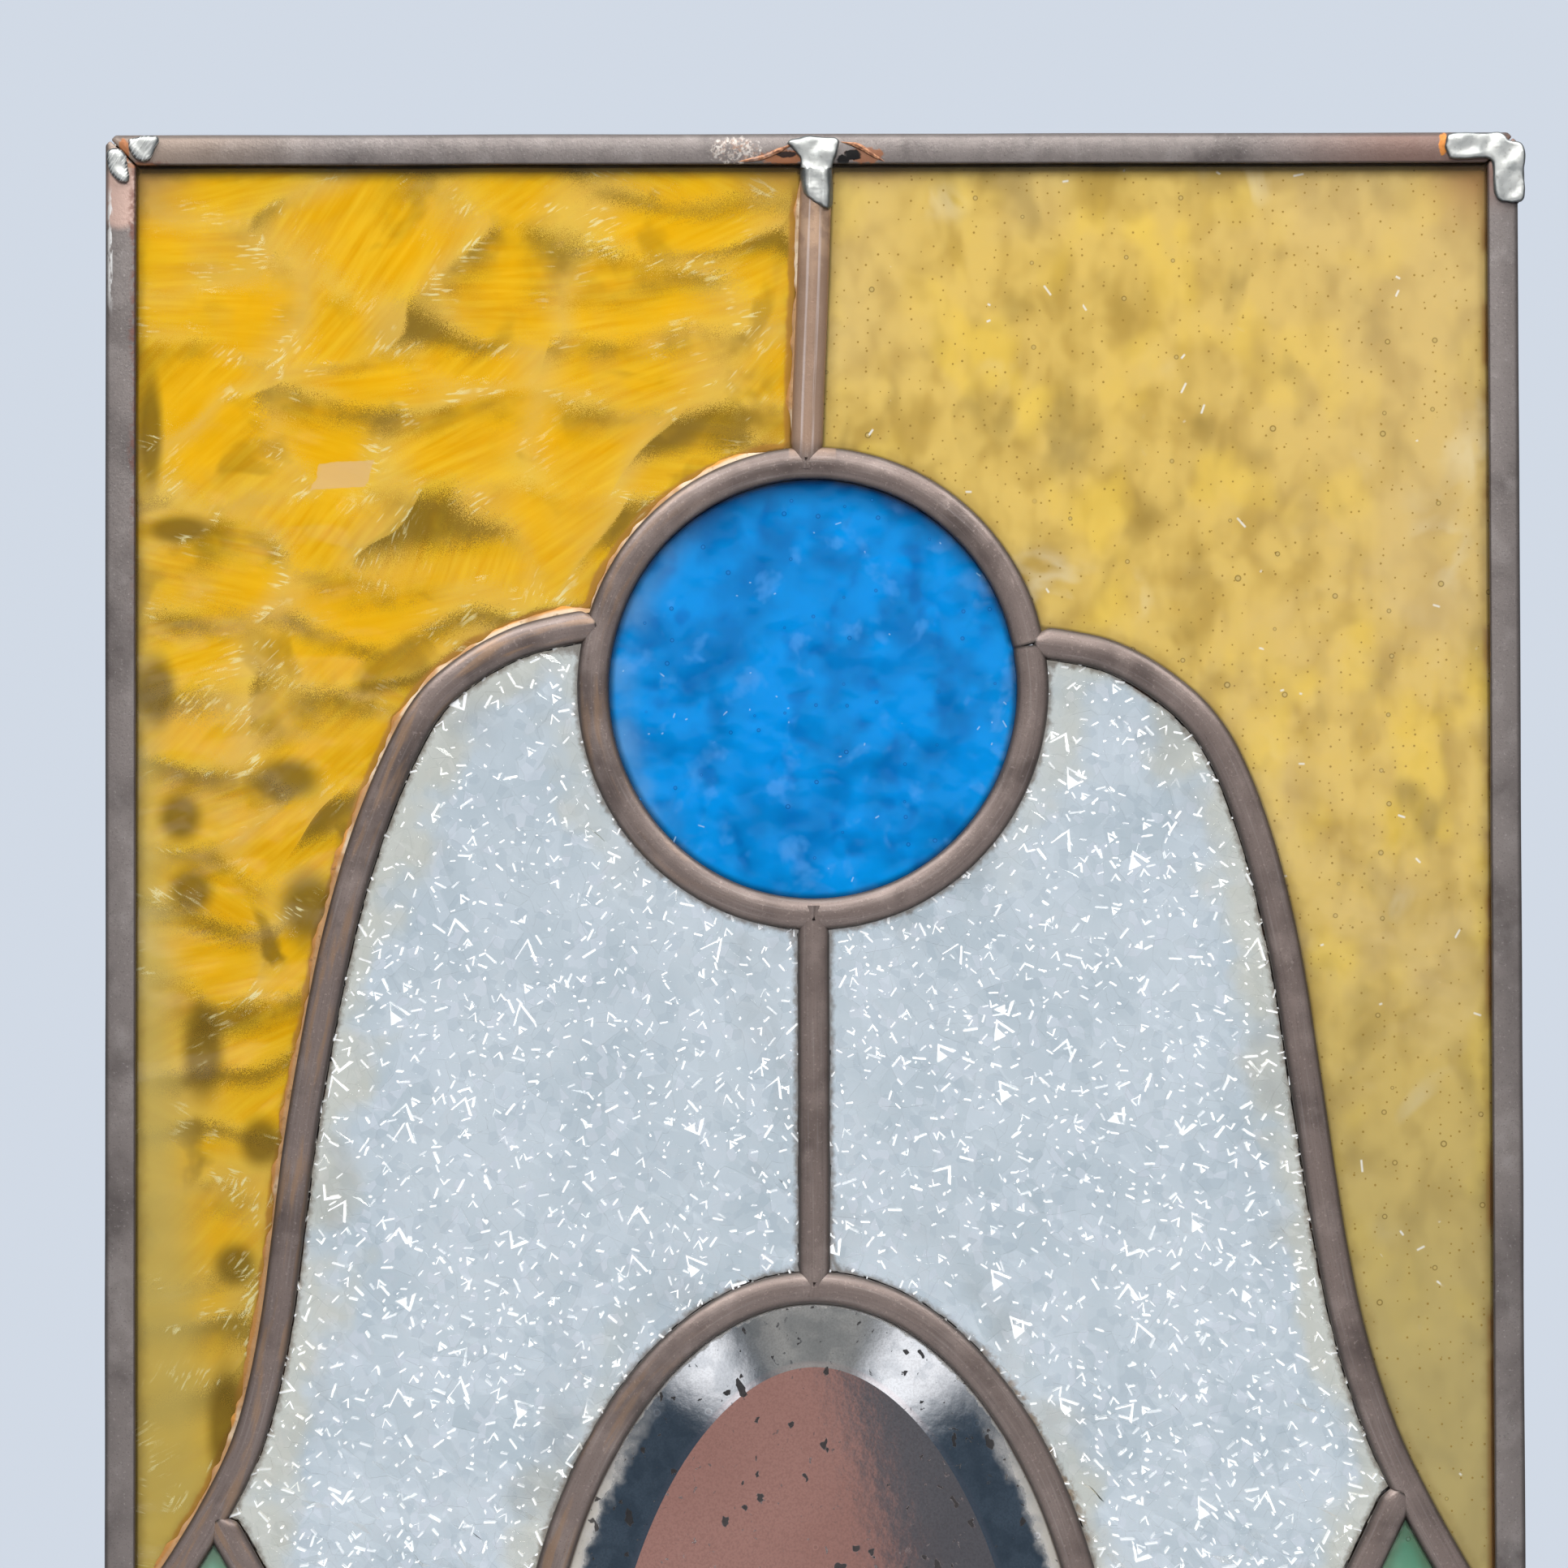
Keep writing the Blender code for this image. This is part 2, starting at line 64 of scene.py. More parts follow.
def plug(tree, place, value):
    """Feeds a socket from a wire, or sets its value."""
    if isinstance(value, Wire):
        tree.links.new(value.socket, place)
    elif isinstance(value, tuple) and len(value) == 3 and place.type == "RGBA":
        place.default_value = (*value, 1.0)
    else:
        place.default_value = value


class Wire:
    """What comes out of a material's node. Arithmetic on it adds the Math nodes."""

    def __init__(self, tree, socket):
        self.tree = tree
        self.socket = socket

    def math(self, operation, *others):
        node = self.tree.nodes.new("ShaderNodeMath")
        node.operation = operation
        for place, value in zip(node.inputs, (self, *others)):
            plug(self.tree, place, value)
        return Wire(self.tree, node.outputs[0])

    def __add__(self, other):
        return self.math("ADD", other)

    def __sub__(self, other):
        return self.math("SUBTRACT", other)

    def __mul__(self, other):
        return self.math("MULTIPLY", other)

    def __truediv__(self, other):
        return self.math("DIVIDE", other)

    def __rsub__(self, other):
        return self.math("MULTIPLY", -1.0).math("ADD", other)

    __radd__ = __add__
    __rmul__ = __mul__


class Recipe:
    """A material being mixed. node() adds any node: its settings first, then what goes in."""

    def __init__(self, name):
        self.made = bpy.data.materials.new(name)
        self.made.use_nodes = True
        self.tree = self.made.node_tree
        self.shader = self.tree.nodes["Principled BSDF"]
        self.spot = self.node("ShaderNodeTexCoord", out="Object")
        self.tone = None
        self.x, self.y, self.z = self.parts(self.spot)

    def node(self, kind, settings=None, inputs=None, out=0):
        made = self.tree.nodes.new(kind)
        for name, value in (settings or {}).items():
            setattr(made, name, value)
        for name, value in (inputs or {}).items():
            plug(self.tree, made.inputs[name], value)
        if isinstance(out, tuple):
            return [Wire(self.tree, made.outputs[name]) for name in out]
        return Wire(self.tree, made.outputs[out])

    def parts(self, vector):
        split = self.tree.nodes.new("ShaderNodeSeparateXYZ")
        plug(self.tree, split.inputs[0], vector)
        return [Wire(self.tree, output) for output in split.outputs]

    def vector(self, x, y, z=0.0):
        return self.node("ShaderNodeCombineXYZ", None, {0: x, 1: y, 2: z})

    def attribute(self, name):
        return self.node("ShaderNodeAttribute", {"attribute_name": name}, out="Fac")

    def cloud(self, scale, detail=3.0, where=None, out=0, warp=0.0):
        """Soft noise, this many lumps to the metre, or to the unit of where."""
        inputs = {"Vector": where or self.spot, "Scale": scale, "Detail": detail, "Distortion": warp}
        return self.node("ShaderNodeTexNoise", None, inputs, out)

    def cells(self, across, up):
        """Scattered cells: a place's way from its cell's heart, sideways and up, how long that way is,
        and three random numbers that the whole cell shares."""
        settings = {"voronoi_dimensions": "2D"}
        inputs = {"Vector": self.vector(across, up), "Scale": 1.0}
        named = ("Position", "Distance", "Color")
        heart, reach, dice = self.node("ShaderNodeTexVoronoi", settings, inputs, named)
        heart_across, heart_up, nothing = self.parts(heart)
        return across - heart_across, up - heart_up, reach, self.parts(dice)

    def to_cell_edge(self, across, up):
        settings = {"voronoi_dimensions": "2D", "feature": "DISTANCE_TO_EDGE"}
        inputs = {"Vector": self.vector(across, up), "Scale": 1.0}
        return self.node("ShaderNodeTexVoronoi", settings, inputs)

    def turned(self, across, up, angle):
        """The same two coordinates, turned by an angle that may differ from place to place."""
        cosine = angle.math("COSINE")
        sine = angle.math("SINE")
        return across * cosine + up * sine, up * cosine - across * sine

    def step(self, value, low, high):
        """Nought below low, one above high and smooth between them."""
        settings = {"interpolation_type": "SMOOTHSTEP"}
        return self.node("ShaderNodeMapRange", settings, {"Value": value, "From Min": low, "From Max": high})

    def patch(self, scale, detail, low, high, **more):
        """Soft patches: noise, cut between two levels."""
        return self.step(self.cloud(scale, detail, **more), low, high)

    def blend(self, share, under, over, how="MIX"):
        """Lays one colour over another by this share."""
        settings = {"data_type": "RGBA", "blend_type": how}
        return self.node("ShaderNodeMix", settings, {0: share, 6: under, 7: over}, out=2)

    def lay(self, share, colour, how="MIX"):
        """Lays a colour over the tone so far by this share."""
        self.tone = self.blend(share, self.tone, colour, how)

    def near(self, place, wide, tall=None, core=0.0):
        """One at a place on the panel, given as x and z, and nought at this reach from it."""
        aside = (self.x - place[0]) / wide
        above = (self.z - place[1]) / (tall or wide)
        return self.step((aside * aside + above * above).math("SQRT"), 1.0, core)

    def bump(self, height, distance, strength=1.0):
        inputs = {"Height": height, "Distance": distance, "Strength": strength}
        return self.node("ShaderNodeBump", None, inputs)

    def finish(self, **sockets):
        """Sets the shader's own sockets. Their names are written with underscores for spaces."""
        for name, value in sockets.items():
            plug(self.tree, self.shader.inputs[name.replace("_", " ")], value)
        return self.made


def merged(node):
    """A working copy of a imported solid, its loose triangles joined up and its flat faces whole."""
    bm = bmesh.new()
    bm.from_mesh(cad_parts[node].data)
    bmesh.ops.remove_doubles(bm, verts=bm.verts, dist=1e-6)
    bmesh.ops.dissolve_limit(bm, angle_limit=math.radians(1), verts=bm.verts, edges=bm.edges)
    return bm


def piece(name, bm, material, replaces=(), sharp=SHARP_ANGLE):
    """Makes a bmesh a piece of the panel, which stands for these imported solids."""
    mesh = bpy.data.meshes.new(name)
    bm.to_mesh(mesh)
    bm.free()
    if sharp is None:
        mesh.shade_flat()
    else:
        mesh.shade_smooth()
        mesh.set_sharp_from_angle(angle=sharp)
    mesh.materials.append(material)
    made = bpy.data.objects.new(name, mesh)
    bpy.context.scene.collection.objects.link(made)
    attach(made, "root")
    if replaces:
        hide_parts(*replaces)


def slice_along(bm, axis, low, high, span):
    """Cuts the mesh across an axis at even spans, so that it can be bent."""
    normal = Vector((0, 0, 0))
    normal[axis] = 1
    for step in range(1, round((high - low) / span)):
        everything = [*bm.verts, *bm.edges, *bm.faces]
        bmesh.ops.bisect_plane(bm, geom=everything, plane_co=normal * (low + step * span), plane_no=normal)


def wave(point, size, seed):
    """Smooth noise between -1 and 1 with lumps of this size."""
    return noise.noise(Vector(point) / size + Vector((seed, seed * 1.7, seed * 0.6)))


def lead_recipe(name, finish, metallic, roughness):
    """Old lead: brown-grey, clouded with paler oxide, with dark pits and fine specks. finish lays on
    what the one kind of came has and the other hasn't, and tells the height of its marks."""
    mix = Recipe(name)
    clouds = mix.cloud(75, 6)
    speckle = mix.cloud(1500, 3)
    grain = mix.cloud(3200, 2)
    mix.tone = mix.blend(mix.step(clouds, 0.20, 0.55), DARK_LEAD, PLAIN_LEAD)
    mix.lay(mix.patch(160, 8, 0.50, 0.78) * 0.35, PALE_LEAD)
    mix.lay(mix.step(speckle, 0.60, 0.72) * 0.45, PALE_LEAD)
    mix.lay(mix.step(grain, 0.42, 0.28) * 0.5, DARK_LEAD)
    height = finish(mix)
    return mix.finish(
        Base_Color=mix.tone,
        Metallic=metallic,
        Roughness=roughness + clouds * 0.20,
        Normal=mix.bump(height + grain * 0.5 + speckle, 0.00006, 0.7),
    )


def border_finish(mix):
    """The flat came: brown at its upper ends, rubbed bare at one corner, rusty and torn at the joints.
    Painted shade darkens both its edges and the torn joint's gap.
    """
    outer = mix.x.math("ABSOLUTE") * -1.0 + 0.145
    outer = outer.math("MINIMUM", mix.z).math("MINIMUM", 0.480 - mix.z)
    fine = mix.cloud(900, 4)
    patchy = mix.cloud(210, 4)
    upper = mix.step(mix.z, 0.462, 0.472)
    mix.lay(upper * mix.patch(500, 4, 0.34, 0.60) * 0.12, (0.42, 0.37, 0.345))
    mix.lay(upper * mix.step(mix.x, 0.085, 0.125) * 0.75, BROWN_LEAD)
    mix.lay(upper * mix.step(mix.x, -0.095, -0.135) * 0.6, (0.33, 0.24, 0.18))
    bare = mix.near((-0.142, 0.4670), 0.0060, 0.0072, 0.70)
    mix.lay(bare * mix.step(patchy, 0.28, 0.45) * 0.9, (0.56, 0.38, 0.32))
    left = mix.step(mix.x, -0.130, -0.134)
    rusty = mix.step(outer + (patchy - 0.5) * 0.0030, 0.0046, 0.0060) * left * mix.step(mix.z, 0.36, 0.43)
    mix.lay(rusty * mix.step(fine, 0.38, 0.60) * 0.8, (0.19, 0.075, 0.055))
    dashes = mix.cloud(1.0, 3, mix.vector(mix.x * 1500, 0.0, mix.z * 330))
    rubbed = mix.step((outer - 0.0009).math("ABSOLUTE"), 0.0007, 0.0003) * left
    rubbed = rubbed * mix.step(mix.z, 0.442, 0.450) * mix.step(mix.z, 0.470, 0.466)
    mix.lay(rubbed * mix.step(dashes, 0.42, 0.54) * 0.9, (0.78, 0.77, 0.76))
    # Painted shade: a dark line along the rounded outer edge, and another along the inner edge where the
    # lead meets the glass.
    mix.lay(mix.step(outer, 0.0011, 0.0003) * 0.75, (0.045, 0.038, 0.037))
    mix.lay(mix.step(outer, 0.00570, 0.00600) * 0.70, (0.036, 0.024, 0.020))
    dust = mix.cloud(1900, 4)
    residue = mix.near((-0.0157, 0.4765), 0.0085, 0.0042, 0.3) + (fine - 0.5) * 1.6
    residue = mix.step(residue, 0.40, 0.80) * mix.step(dust, 0.40, 0.58)
    crumbs = mix.blend(mix.step(fine, 0.35, 0.60), (0.36, 0.20, 0.13), (0.66, 0.61, 0.56))
    mix.lay(residue * 0.75, crumbs)
    for place, wide, tall, strength, colour in (
        ((-0.0056, 0.4752), 0.0090, 0.0026, 0.85, RUST),
        ((0.0110, 0.4755), 0.0070, 0.0028, 0.75, RUST),
        ((0.1297, 0.4776), 0.0016, 0.0040, 1.00, (0.66, 0.24, 0.045)),
        ((-0.1412, 0.4768), 0.0020, 0.0045, 0.95, (0.42, 0.16, 0.06)),
        ((-0.1385, 0.4738), 0.0060, 0.0010, 0.70, (0.30, 0.12, 0.05)),
        ((0.1410, 0.4700), 0.0016, 0.0060, 0.80, (0.62, 0.33, 0.15)),
        # Painted shade: near-black spots stand for the dark open gap of the torn joint.
        ((-0.0052, 0.4757), 0.0036, 0.0013, 1.00, (0.022, 0.009, 0.006)),
        ((0.0084, 0.4756), 0.0030, 0.0020, 1.00, (0.004, 0.003, 0.003)),
        ((0.0064, 0.4746), 0.0022, 0.0018, 1.00, (0.004, 0.003, 0.003)),
    ):
        spot = mix.step(mix.near(place, wide, tall) + (fine - 0.5) * 0.9, 0.30, 0.55)
        mix.lay(spot * strength, colour)
    return fine * 0.5


lead = lead_recipe("old_lead", border_finish, 0.35, 0.32)
for side in ("top", "right", "bottom", "left"):
    node = f"border_{side}"
    low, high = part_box(node)
    bm = merged(node)
    bmesh.ops.bevel(
        bm, geom=bm.edges, offset=BORDER_EDGE_ROUNDING, affect="EDGES", segments=2, profile=0.5,
        material=-1,
    )
    axis = 0 if side in ("top", "bottom") else 2
    slice_along(bm, axis, low[axis], high[axis], BORDER_SPAN)
    for vert in bm.verts:
        place = vert.co.copy()
        vert.co.y += BORDER_WAVE * wave(place, 0.021, 3)
        vert.co[2 - axis] += BORDER_WAVE * wave(place, 0.034, 5)
    piece(f"border_came_{side}", bm, lead, [node])


# The round cames: H-shaped lead strips with a domed leaf on each side, bent by hand to the drawing.
# Each end is cut to a point and laid against the next came, and the rings' ends meet in a seam.
CAME_HALF = 0.00325
CAME_HEART = 0.0008
CAME_CHANNEL = 0.0019
CAME_LIP = 0.0003
CAME_CROWN = 0.0019
DOME_SHARPNESS = 0.58
DOME_POINTS = 13
STATION = 0.0011
CAME_DENT = 0.00007
CAME_SWAY = 0.00007
POINT_REACH = 0.0024
POINT_STATIONS = 2
ROUNDEL_SEAM = math.radians(11)
MIRROR_SEAM = math.radians(-90)
POINT_WIDTH = 0.30
POINT_LIFT = 0.00015


def crown_points(node):
    """The places on a came's crown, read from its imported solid, in no order."""
    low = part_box(node)[0].y
    found = {}
    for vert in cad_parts[node].data.vertices:
        if vert.co.y < low + 0.00001:
            found[(round(vert.co.x, 5), round(vert.co.z, 5))] = Vector((vert.co.x, vert.co.z))
    return list(found.values())


def open_line(node):
    """A came's line from its upper end to its lower end."""
    left = crown_points(node)
    line = [max(left, key=lambda point: point.y)]
    left.remove(line[0])
    while left:
        following = min(left, key=lambda point: (point - line[-1]).length)
        left.remove(following)
        line.append(following)
    return line


def ring_line(node, seam):
    """A ring's line, once round from its seam."""
    low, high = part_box(node)
    wide, tall = (high.x - low.x) / 2, (high.z - low.z) / 2

    def turn(point):
        aside, above = point.x - low.x - wide, point.y - low.z - tall
        return (math.atan2(above / tall, aside / wide) - seam) % (2 * math.pi)

    return sorted(crown_points(node), key=turn)


def even_line(knots, spacing):
    """A smooth line through these points, with a point at every spacing or so."""
    ends = [2 * knots[0] - knots[1], *knots, 2 * knots[-1] - knots[-2]]
    line = []
    for before, here, there, after in zip(ends, ends[1:], ends[2:], ends[3:]):
        steps = max(1, round((there - here).length / spacing))
        for step in range(steps):
            t = step / steps
            line.append(
                here
                + (there - before) * (t / 2)
                + (2 * before - 5 * here + 4 * there - after) * (t * t / 2)
                + (3 * here - before - 3 * there + after) * (t**3 / 2)
            )
    return [*line, knots[-1]]


def run_on(line, first, last):
    """The line carried straight on by a length past each end."""
    begin = line[0] + (line[0] - line[1]).normalized() * first
    end = line[-1] + (line[-1] - line[-2]).normalized() * last
    return [begin, *line, end]


def dome(across):
    """How far the domed leaf stands out from the middle of the glass, at a share across it."""
    swell = max(0.0, 1 - across * across) ** DOME_SHARPNESS
    return CAME_CHANNEL + CAME_LIP + (CAME_CROWN - CAME_LIP) * swell


def came_section():
    """The H of the round came, as shares across and metres through, from the front dome to the back."""
    points = []
    for step in range(DOME_POINTS):
        across = math.sin(math.pi * (step / (DOME_POINTS - 1) - 0.5))
        points.append((across, -dome(across)))
    heart = CAME_HEART / CAME_HALF
    points += [(1, -CAME_CHANNEL), (heart, -CAME_CHANNEL), (heart, CAME_CHANNEL), (1, CAME_CHANNEL)]
    return points + [(-across, -through) for across, through in points]


def sweep(line, section, half):
    """Draws a section along a line by extruding it from station to station. section gives each point's
    share across and depth at a station. Each point keeps how far along and across it lies."""
    bm = bmesh.new()
    order = bm.verts.layers.int.new("order")
    along = bm.verts.layers.float.new("along")
    across = bm.verts.layers.float.new("across")
    from_end = bm.verts.layers.float.new("from_end")
    run = 0.0
    edges = []
    for index, place in enumerate(line):
        way = (line[min(index + 1, len(line) - 1)] - line[max(index - 1, 0)]).normalized()
        sideways = Vector((-way.y, way.x))
        shape = section(index)
        run += (place - line[max(index - 1, 0)]).length
        if not edges:
            verts = [bm.verts.new() for point in shape]
            for number, vert in enumerate(verts):
                vert[order] = number
            edges = [bm.edges.new((verts[i - 1], verts[i])) for i in range(len(verts))]
            start = bm.faces.new(verts)
        else:
            grown = bmesh.ops.extrude_edge_only(bm, edges=edges)["geom"]
            verts = [part for part in grown if isinstance(part, bmesh.types.BMVert)]
            fresh = set(verts)
            edges = [
                part
                for part in grown
                if isinstance(part, bmesh.types.BMEdge) and all(v in fresh for v in part.verts)
            ]
        for vert in verts:
            share, depth = shape[vert[order]]
            point = place + sideways * (share * half)
            vert.co = (point.x, depth, point.y)
            vert[along] = run
            vert[across] = share
    bmesh.ops.contextual_create(bm, geom=edges)
    for vert in bm.verts:
        vert[from_end] = min(vert[along], run - vert[along])
    bmesh.ops.recalc_face_normals(bm, faces=bm.faces)
    return bm


def came_bar(node, line, seed):
    """A hand-bent came: it sways a little, and its crown is dented here and there. A straight or curved
    length has pointed ends, that lie on the flank of the next came. A ring's ends are cut square."""
    section = came_section()
    swayed = []
    for place in line:
        flat = (place.x, 0, place.y)
        swayed.append(place + Vector((wave(flat, 0.018, seed), wave(flat, 0.018, seed + 9))) * CAME_SWAY)

    def at(index):
        if node.endswith("_ring"):
            return section
        whole = min(1.0, min(index, len(line) - 1 - index) * STATION / POINT_REACH)
        lift = POINT_LIFT * (1 - whole)
        width = POINT_WIDTH + (1 - POINT_WIDTH) * whole**0.8
        return [(share * width, depth + math.copysign(lift, depth)) for share, depth in section]

    bm = sweep(swayed, at, CAME_HALF)
    for vert in bm.verts:
        if abs(vert.co.y) > CAME_CHANNEL + CAME_LIP / 2:
            dent = wave(vert.co, 0.0045, seed) + 0.6 * wave(vert.co, 0.0017, seed + 3)
            vert.co.y -= math.copysign(CAME_DENT, vert.co.y) * dent
    piece(f"{node}_bar", bm, round_lead, [node])


def round_finish(mix):
    """The round came: drawn streaks along it, brown where it was handled, painted shade and dirt on its
    flanks, dark at its ends, painted highlights on the top came's ridges.
    """
    along = mix.attribute("along")
    across = mix.attribute("across")
    mix.lay(0.62, (0.98, 0.80, 0.72), "MULTIPLY")
    drawn = mix.cloud(1.0, 3, mix.vector(along * 45, across * 7, 0.0))
    mix.lay(mix.step(drawn, 0.52, 0.78) * 0.28, PALE_LEAD)
    mix.lay(mix.step(drawn, 0.42, 0.28) * 0.35, DARK_LEAD)
    worn = mix.step(mix.cloud(1.0, 4, mix.vector(along * 60, across * 1.6, 0.0)), 0.50, 0.64)
    worn = worn * mix.step(mix.x, -0.010, -0.060)
    mix.lay(worn * 0.55, (0.34, 0.205, 0.115))
    # Painted shade on the dome's flanks, with some dirt by the glass: darker towards both edges.
    mix.lay(mix.step(across * across, 0.34, 0.95) * 0.85, (0.048, 0.038, 0.034))
    mix.lay(mix.step(mix.attribute("from_end"), 0.0007, 0.0) * 0.85, (0.020, 0.016, 0.015))
    head = mix.near((0.0008, 0.4620), 0.0060, 0.0130, 0.3) * mix.patch(330, 4, 0.40, 0.58)
    mix.lay(head * 0.8, (0.62, 0.44, 0.30))
    top = mix.step(mix.z, 0.412, 0.418) * mix.step(mix.x.math("ABSOLUTE"), 0.0050, 0.0046)
    # Painted highlights: paler lines along the top came's dome, where light from above would catch it.
    ridge_highlights = mix.step((across.math("ABSOLUTE") - 0.36).math("ABSOLUTE"), 0.13, 0.03)
    mix.lay(top * 0.65, (0.42, 0.26, 0.165))
    mix.lay(top * ridge_highlights * mix.step(drawn, 0.34, 0.58) * 0.55, (0.62, 0.53, 0.51))
    return drawn * 0.3


round_lead = lead_recipe("old_round_lead", round_finish, 0.45, 0.32)
lines = {
    "roundel_ring": even_line(ring_line("roundel_ring", ROUNDEL_SEAM), STATION),
    "mirror_ring": even_line(ring_line("mirror_ring", MIRROR_SEAM), STATION),
}
for node in (
    "came_top_centre", "came_middle_centre", "came_bottom_centre", "curve_left", "curve_right",
    "branch_left", "branch_right", "leaf_base_left", "leaf_base_right",
):
    lines[node] = even_line(run_on(open_line(node), POINT_REACH, POINT_REACH), STATION)
for seed, (node, line) in enumerate(lines.items()):
    came_bar(node, line, seed + 1)

under_lead = [place for line in lines.values() for place in line[POINT_STATIONS:-POINT_STATIONS]]
lead_tree = kdtree.KDTree(len(under_lead))
for place in under_lead:
    lead_tree.insert((place.x, 0, place.y), 0)
lead_tree.balance()
panel_low, panel_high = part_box("border_left")[0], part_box("border_right")[1]


def from_lead(x, z):
    """How far a place on the panel is from the nearest edge of the lead. It is below nought under it."""
    to_round = lead_tree.find((x, 0, z))[2] - CAME_HALF
    to_border = min(x - panel_low.x, panel_high.x - x, z - panel_low.z, panel_high.z - z) - BORDER_WIDTH
    return min(to_round, to_border)


# The stretched and blown panes: sheet glass 3 mm thick, its colour melted in. The left field is a
# strong rippled amber, the right one a paler seedy amber. Each pane is cut to slide into the lead.
GLASS_HALF = 0.0015
AMBER_GRID = 0.00125
RIPPLE_WIDE = 0.016
RIPPLE_HIGH = 0.009
RIPPLE_RISE = 0.00030
SEEDY_RISE = 0.00014


def relief_pane(node, spacing, front, back, material, jitter=0.0, sharp=SHARP_ANGLE):
    """A pane with relief on both faces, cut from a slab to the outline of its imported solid. front and
    back give how far each face rises at a place. Each point keeps its distance from the lead."""
    low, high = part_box(node)
    wide, tall = high.x - low.x + 4 * spacing, high.z - low.z + 4 * spacing
    middle = (low + high) / 2
    bm = bmesh.new()
    across, up = round(wide / spacing), round(tall / spacing)
    bmesh.ops.create_grid(bm, x_segments=across, y_segments=up, size=0.5)
    bmesh.ops.scale(bm, vec=(wide, tall, 1), verts=bm.verts)
    bmesh.ops.rotate(bm, cent=(0, 0, 0), matrix=Matrix.Rotation(math.pi / 2, 3, "X"), verts=bm.verts)
    bmesh.ops.translate(bm, vec=(middle.x, -GLASS_HALF, middle.z), verts=bm.verts)
    if jitter:
        dice = random.Random(node)
        for vert in bm.verts:
            vert.co.x += dice.uniform(-jitter, jitter) * spacing
            vert.co.z += dice.uniform(-jitter, jitter) * spacing
        bmesh.ops.triangulate(bm, faces=bm.faces, quad_method="ALTERNATE")
    grown = bmesh.ops.extrude_face_region(bm, geom=bm.faces[:])["geom"]
    behind = {part for part in grown if isinstance(part, bmesh.types.BMVert)}
    for vert in bm.verts:
        if vert in behind:
            vert.co.y = GLASS_HALF + back(vert.co)
        else:
            vert.co.y = -GLASS_HALF - front(vert.co)
    bmesh.ops.recalc_face_normals(bm, faces=bm.faces)
    slab = bpy.data.objects.new("slab", bpy.data.meshes.new("slab"))
    bm.to_mesh(slab.data)
    bm.free()
    outline = merged(node)
    bmesh.ops.scale(outline, vec=(1, 3, 1), verts=outline.verts)
    cutter = bpy.data.objects.new("outline", bpy.data.meshes.new("outline"))
    outline.to_mesh(cutter.data)
    outline.free()
    for made in (slab, cutter):
        bpy.context.scene.collection.objects.link(made)
    modifier = slab.modifiers.new("trim", "BOOLEAN")
    modifier.operation = "INTERSECT"
    modifier.solver = "MANIFOLD"
    modifier.object = cutter
    trimmed = slab.evaluated_get(bpy.context.evaluated_depsgraph_get())
    pane = bmesh.new()
    pane.from_mesh(trimmed.to_mesh())
    for made in (slab, cutter):
        bpy.data.objects.remove(made)
    edge = pane.verts.layers.float.new("from_lead")
    for vert in pane.verts:
        vert[edge] = from_lead(vert.co.x, vert.co.z)
    piece(f"{node}_pane", pane, material, [node], sharp)


def ripple(place, seed):
    """Long shallow swells, wider than high."""
    cell = Vector((place.x / RIPPLE_WIDE, 0, place.z / RIPPLE_HIGH)) + Vector((seed, 0, seed))
    return RIPPLE_RISE * (noise.noise(cell) + 0.3 * noise.noise(cell * 2.3))


def seedy(place, seed):
    return SEEDY_RISE * (wave(place, 0.011, seed) + 0.4 * wave(place, 0.004, seed + 2))


AMBER_SHADOWS = (
    ((-0.1277, 0.3248), 0.0062, 0.0065),
    ((-0.1036, 0.3215), 0.0080, 0.0105),
    ((-0.1252, 0.2919), 0.0058, 0.0135),
    ((-0.1133, 0.2733), 0.0060, 0.0070),
    ((-0.1298, 0.3400), 0.0060, 0.0070),
    ((-0.1080, 0.3477), 0.0095, 0.0060),
    ((-0.1186, 0.2482), 0.0060, 0.0060),
    ((-0.1206, 0.2153), 0.0050, 0.0170),
    ((-0.1348, 0.3658), 0.0055, 0.0100),
    ((-0.1360, 0.4190), 0.0034, 0.0170),
    ((-0.1300, 0.3990), 0.0100, 0.0040),
)
AMBER_TAG = Vector((-0.0964, 0.4102))


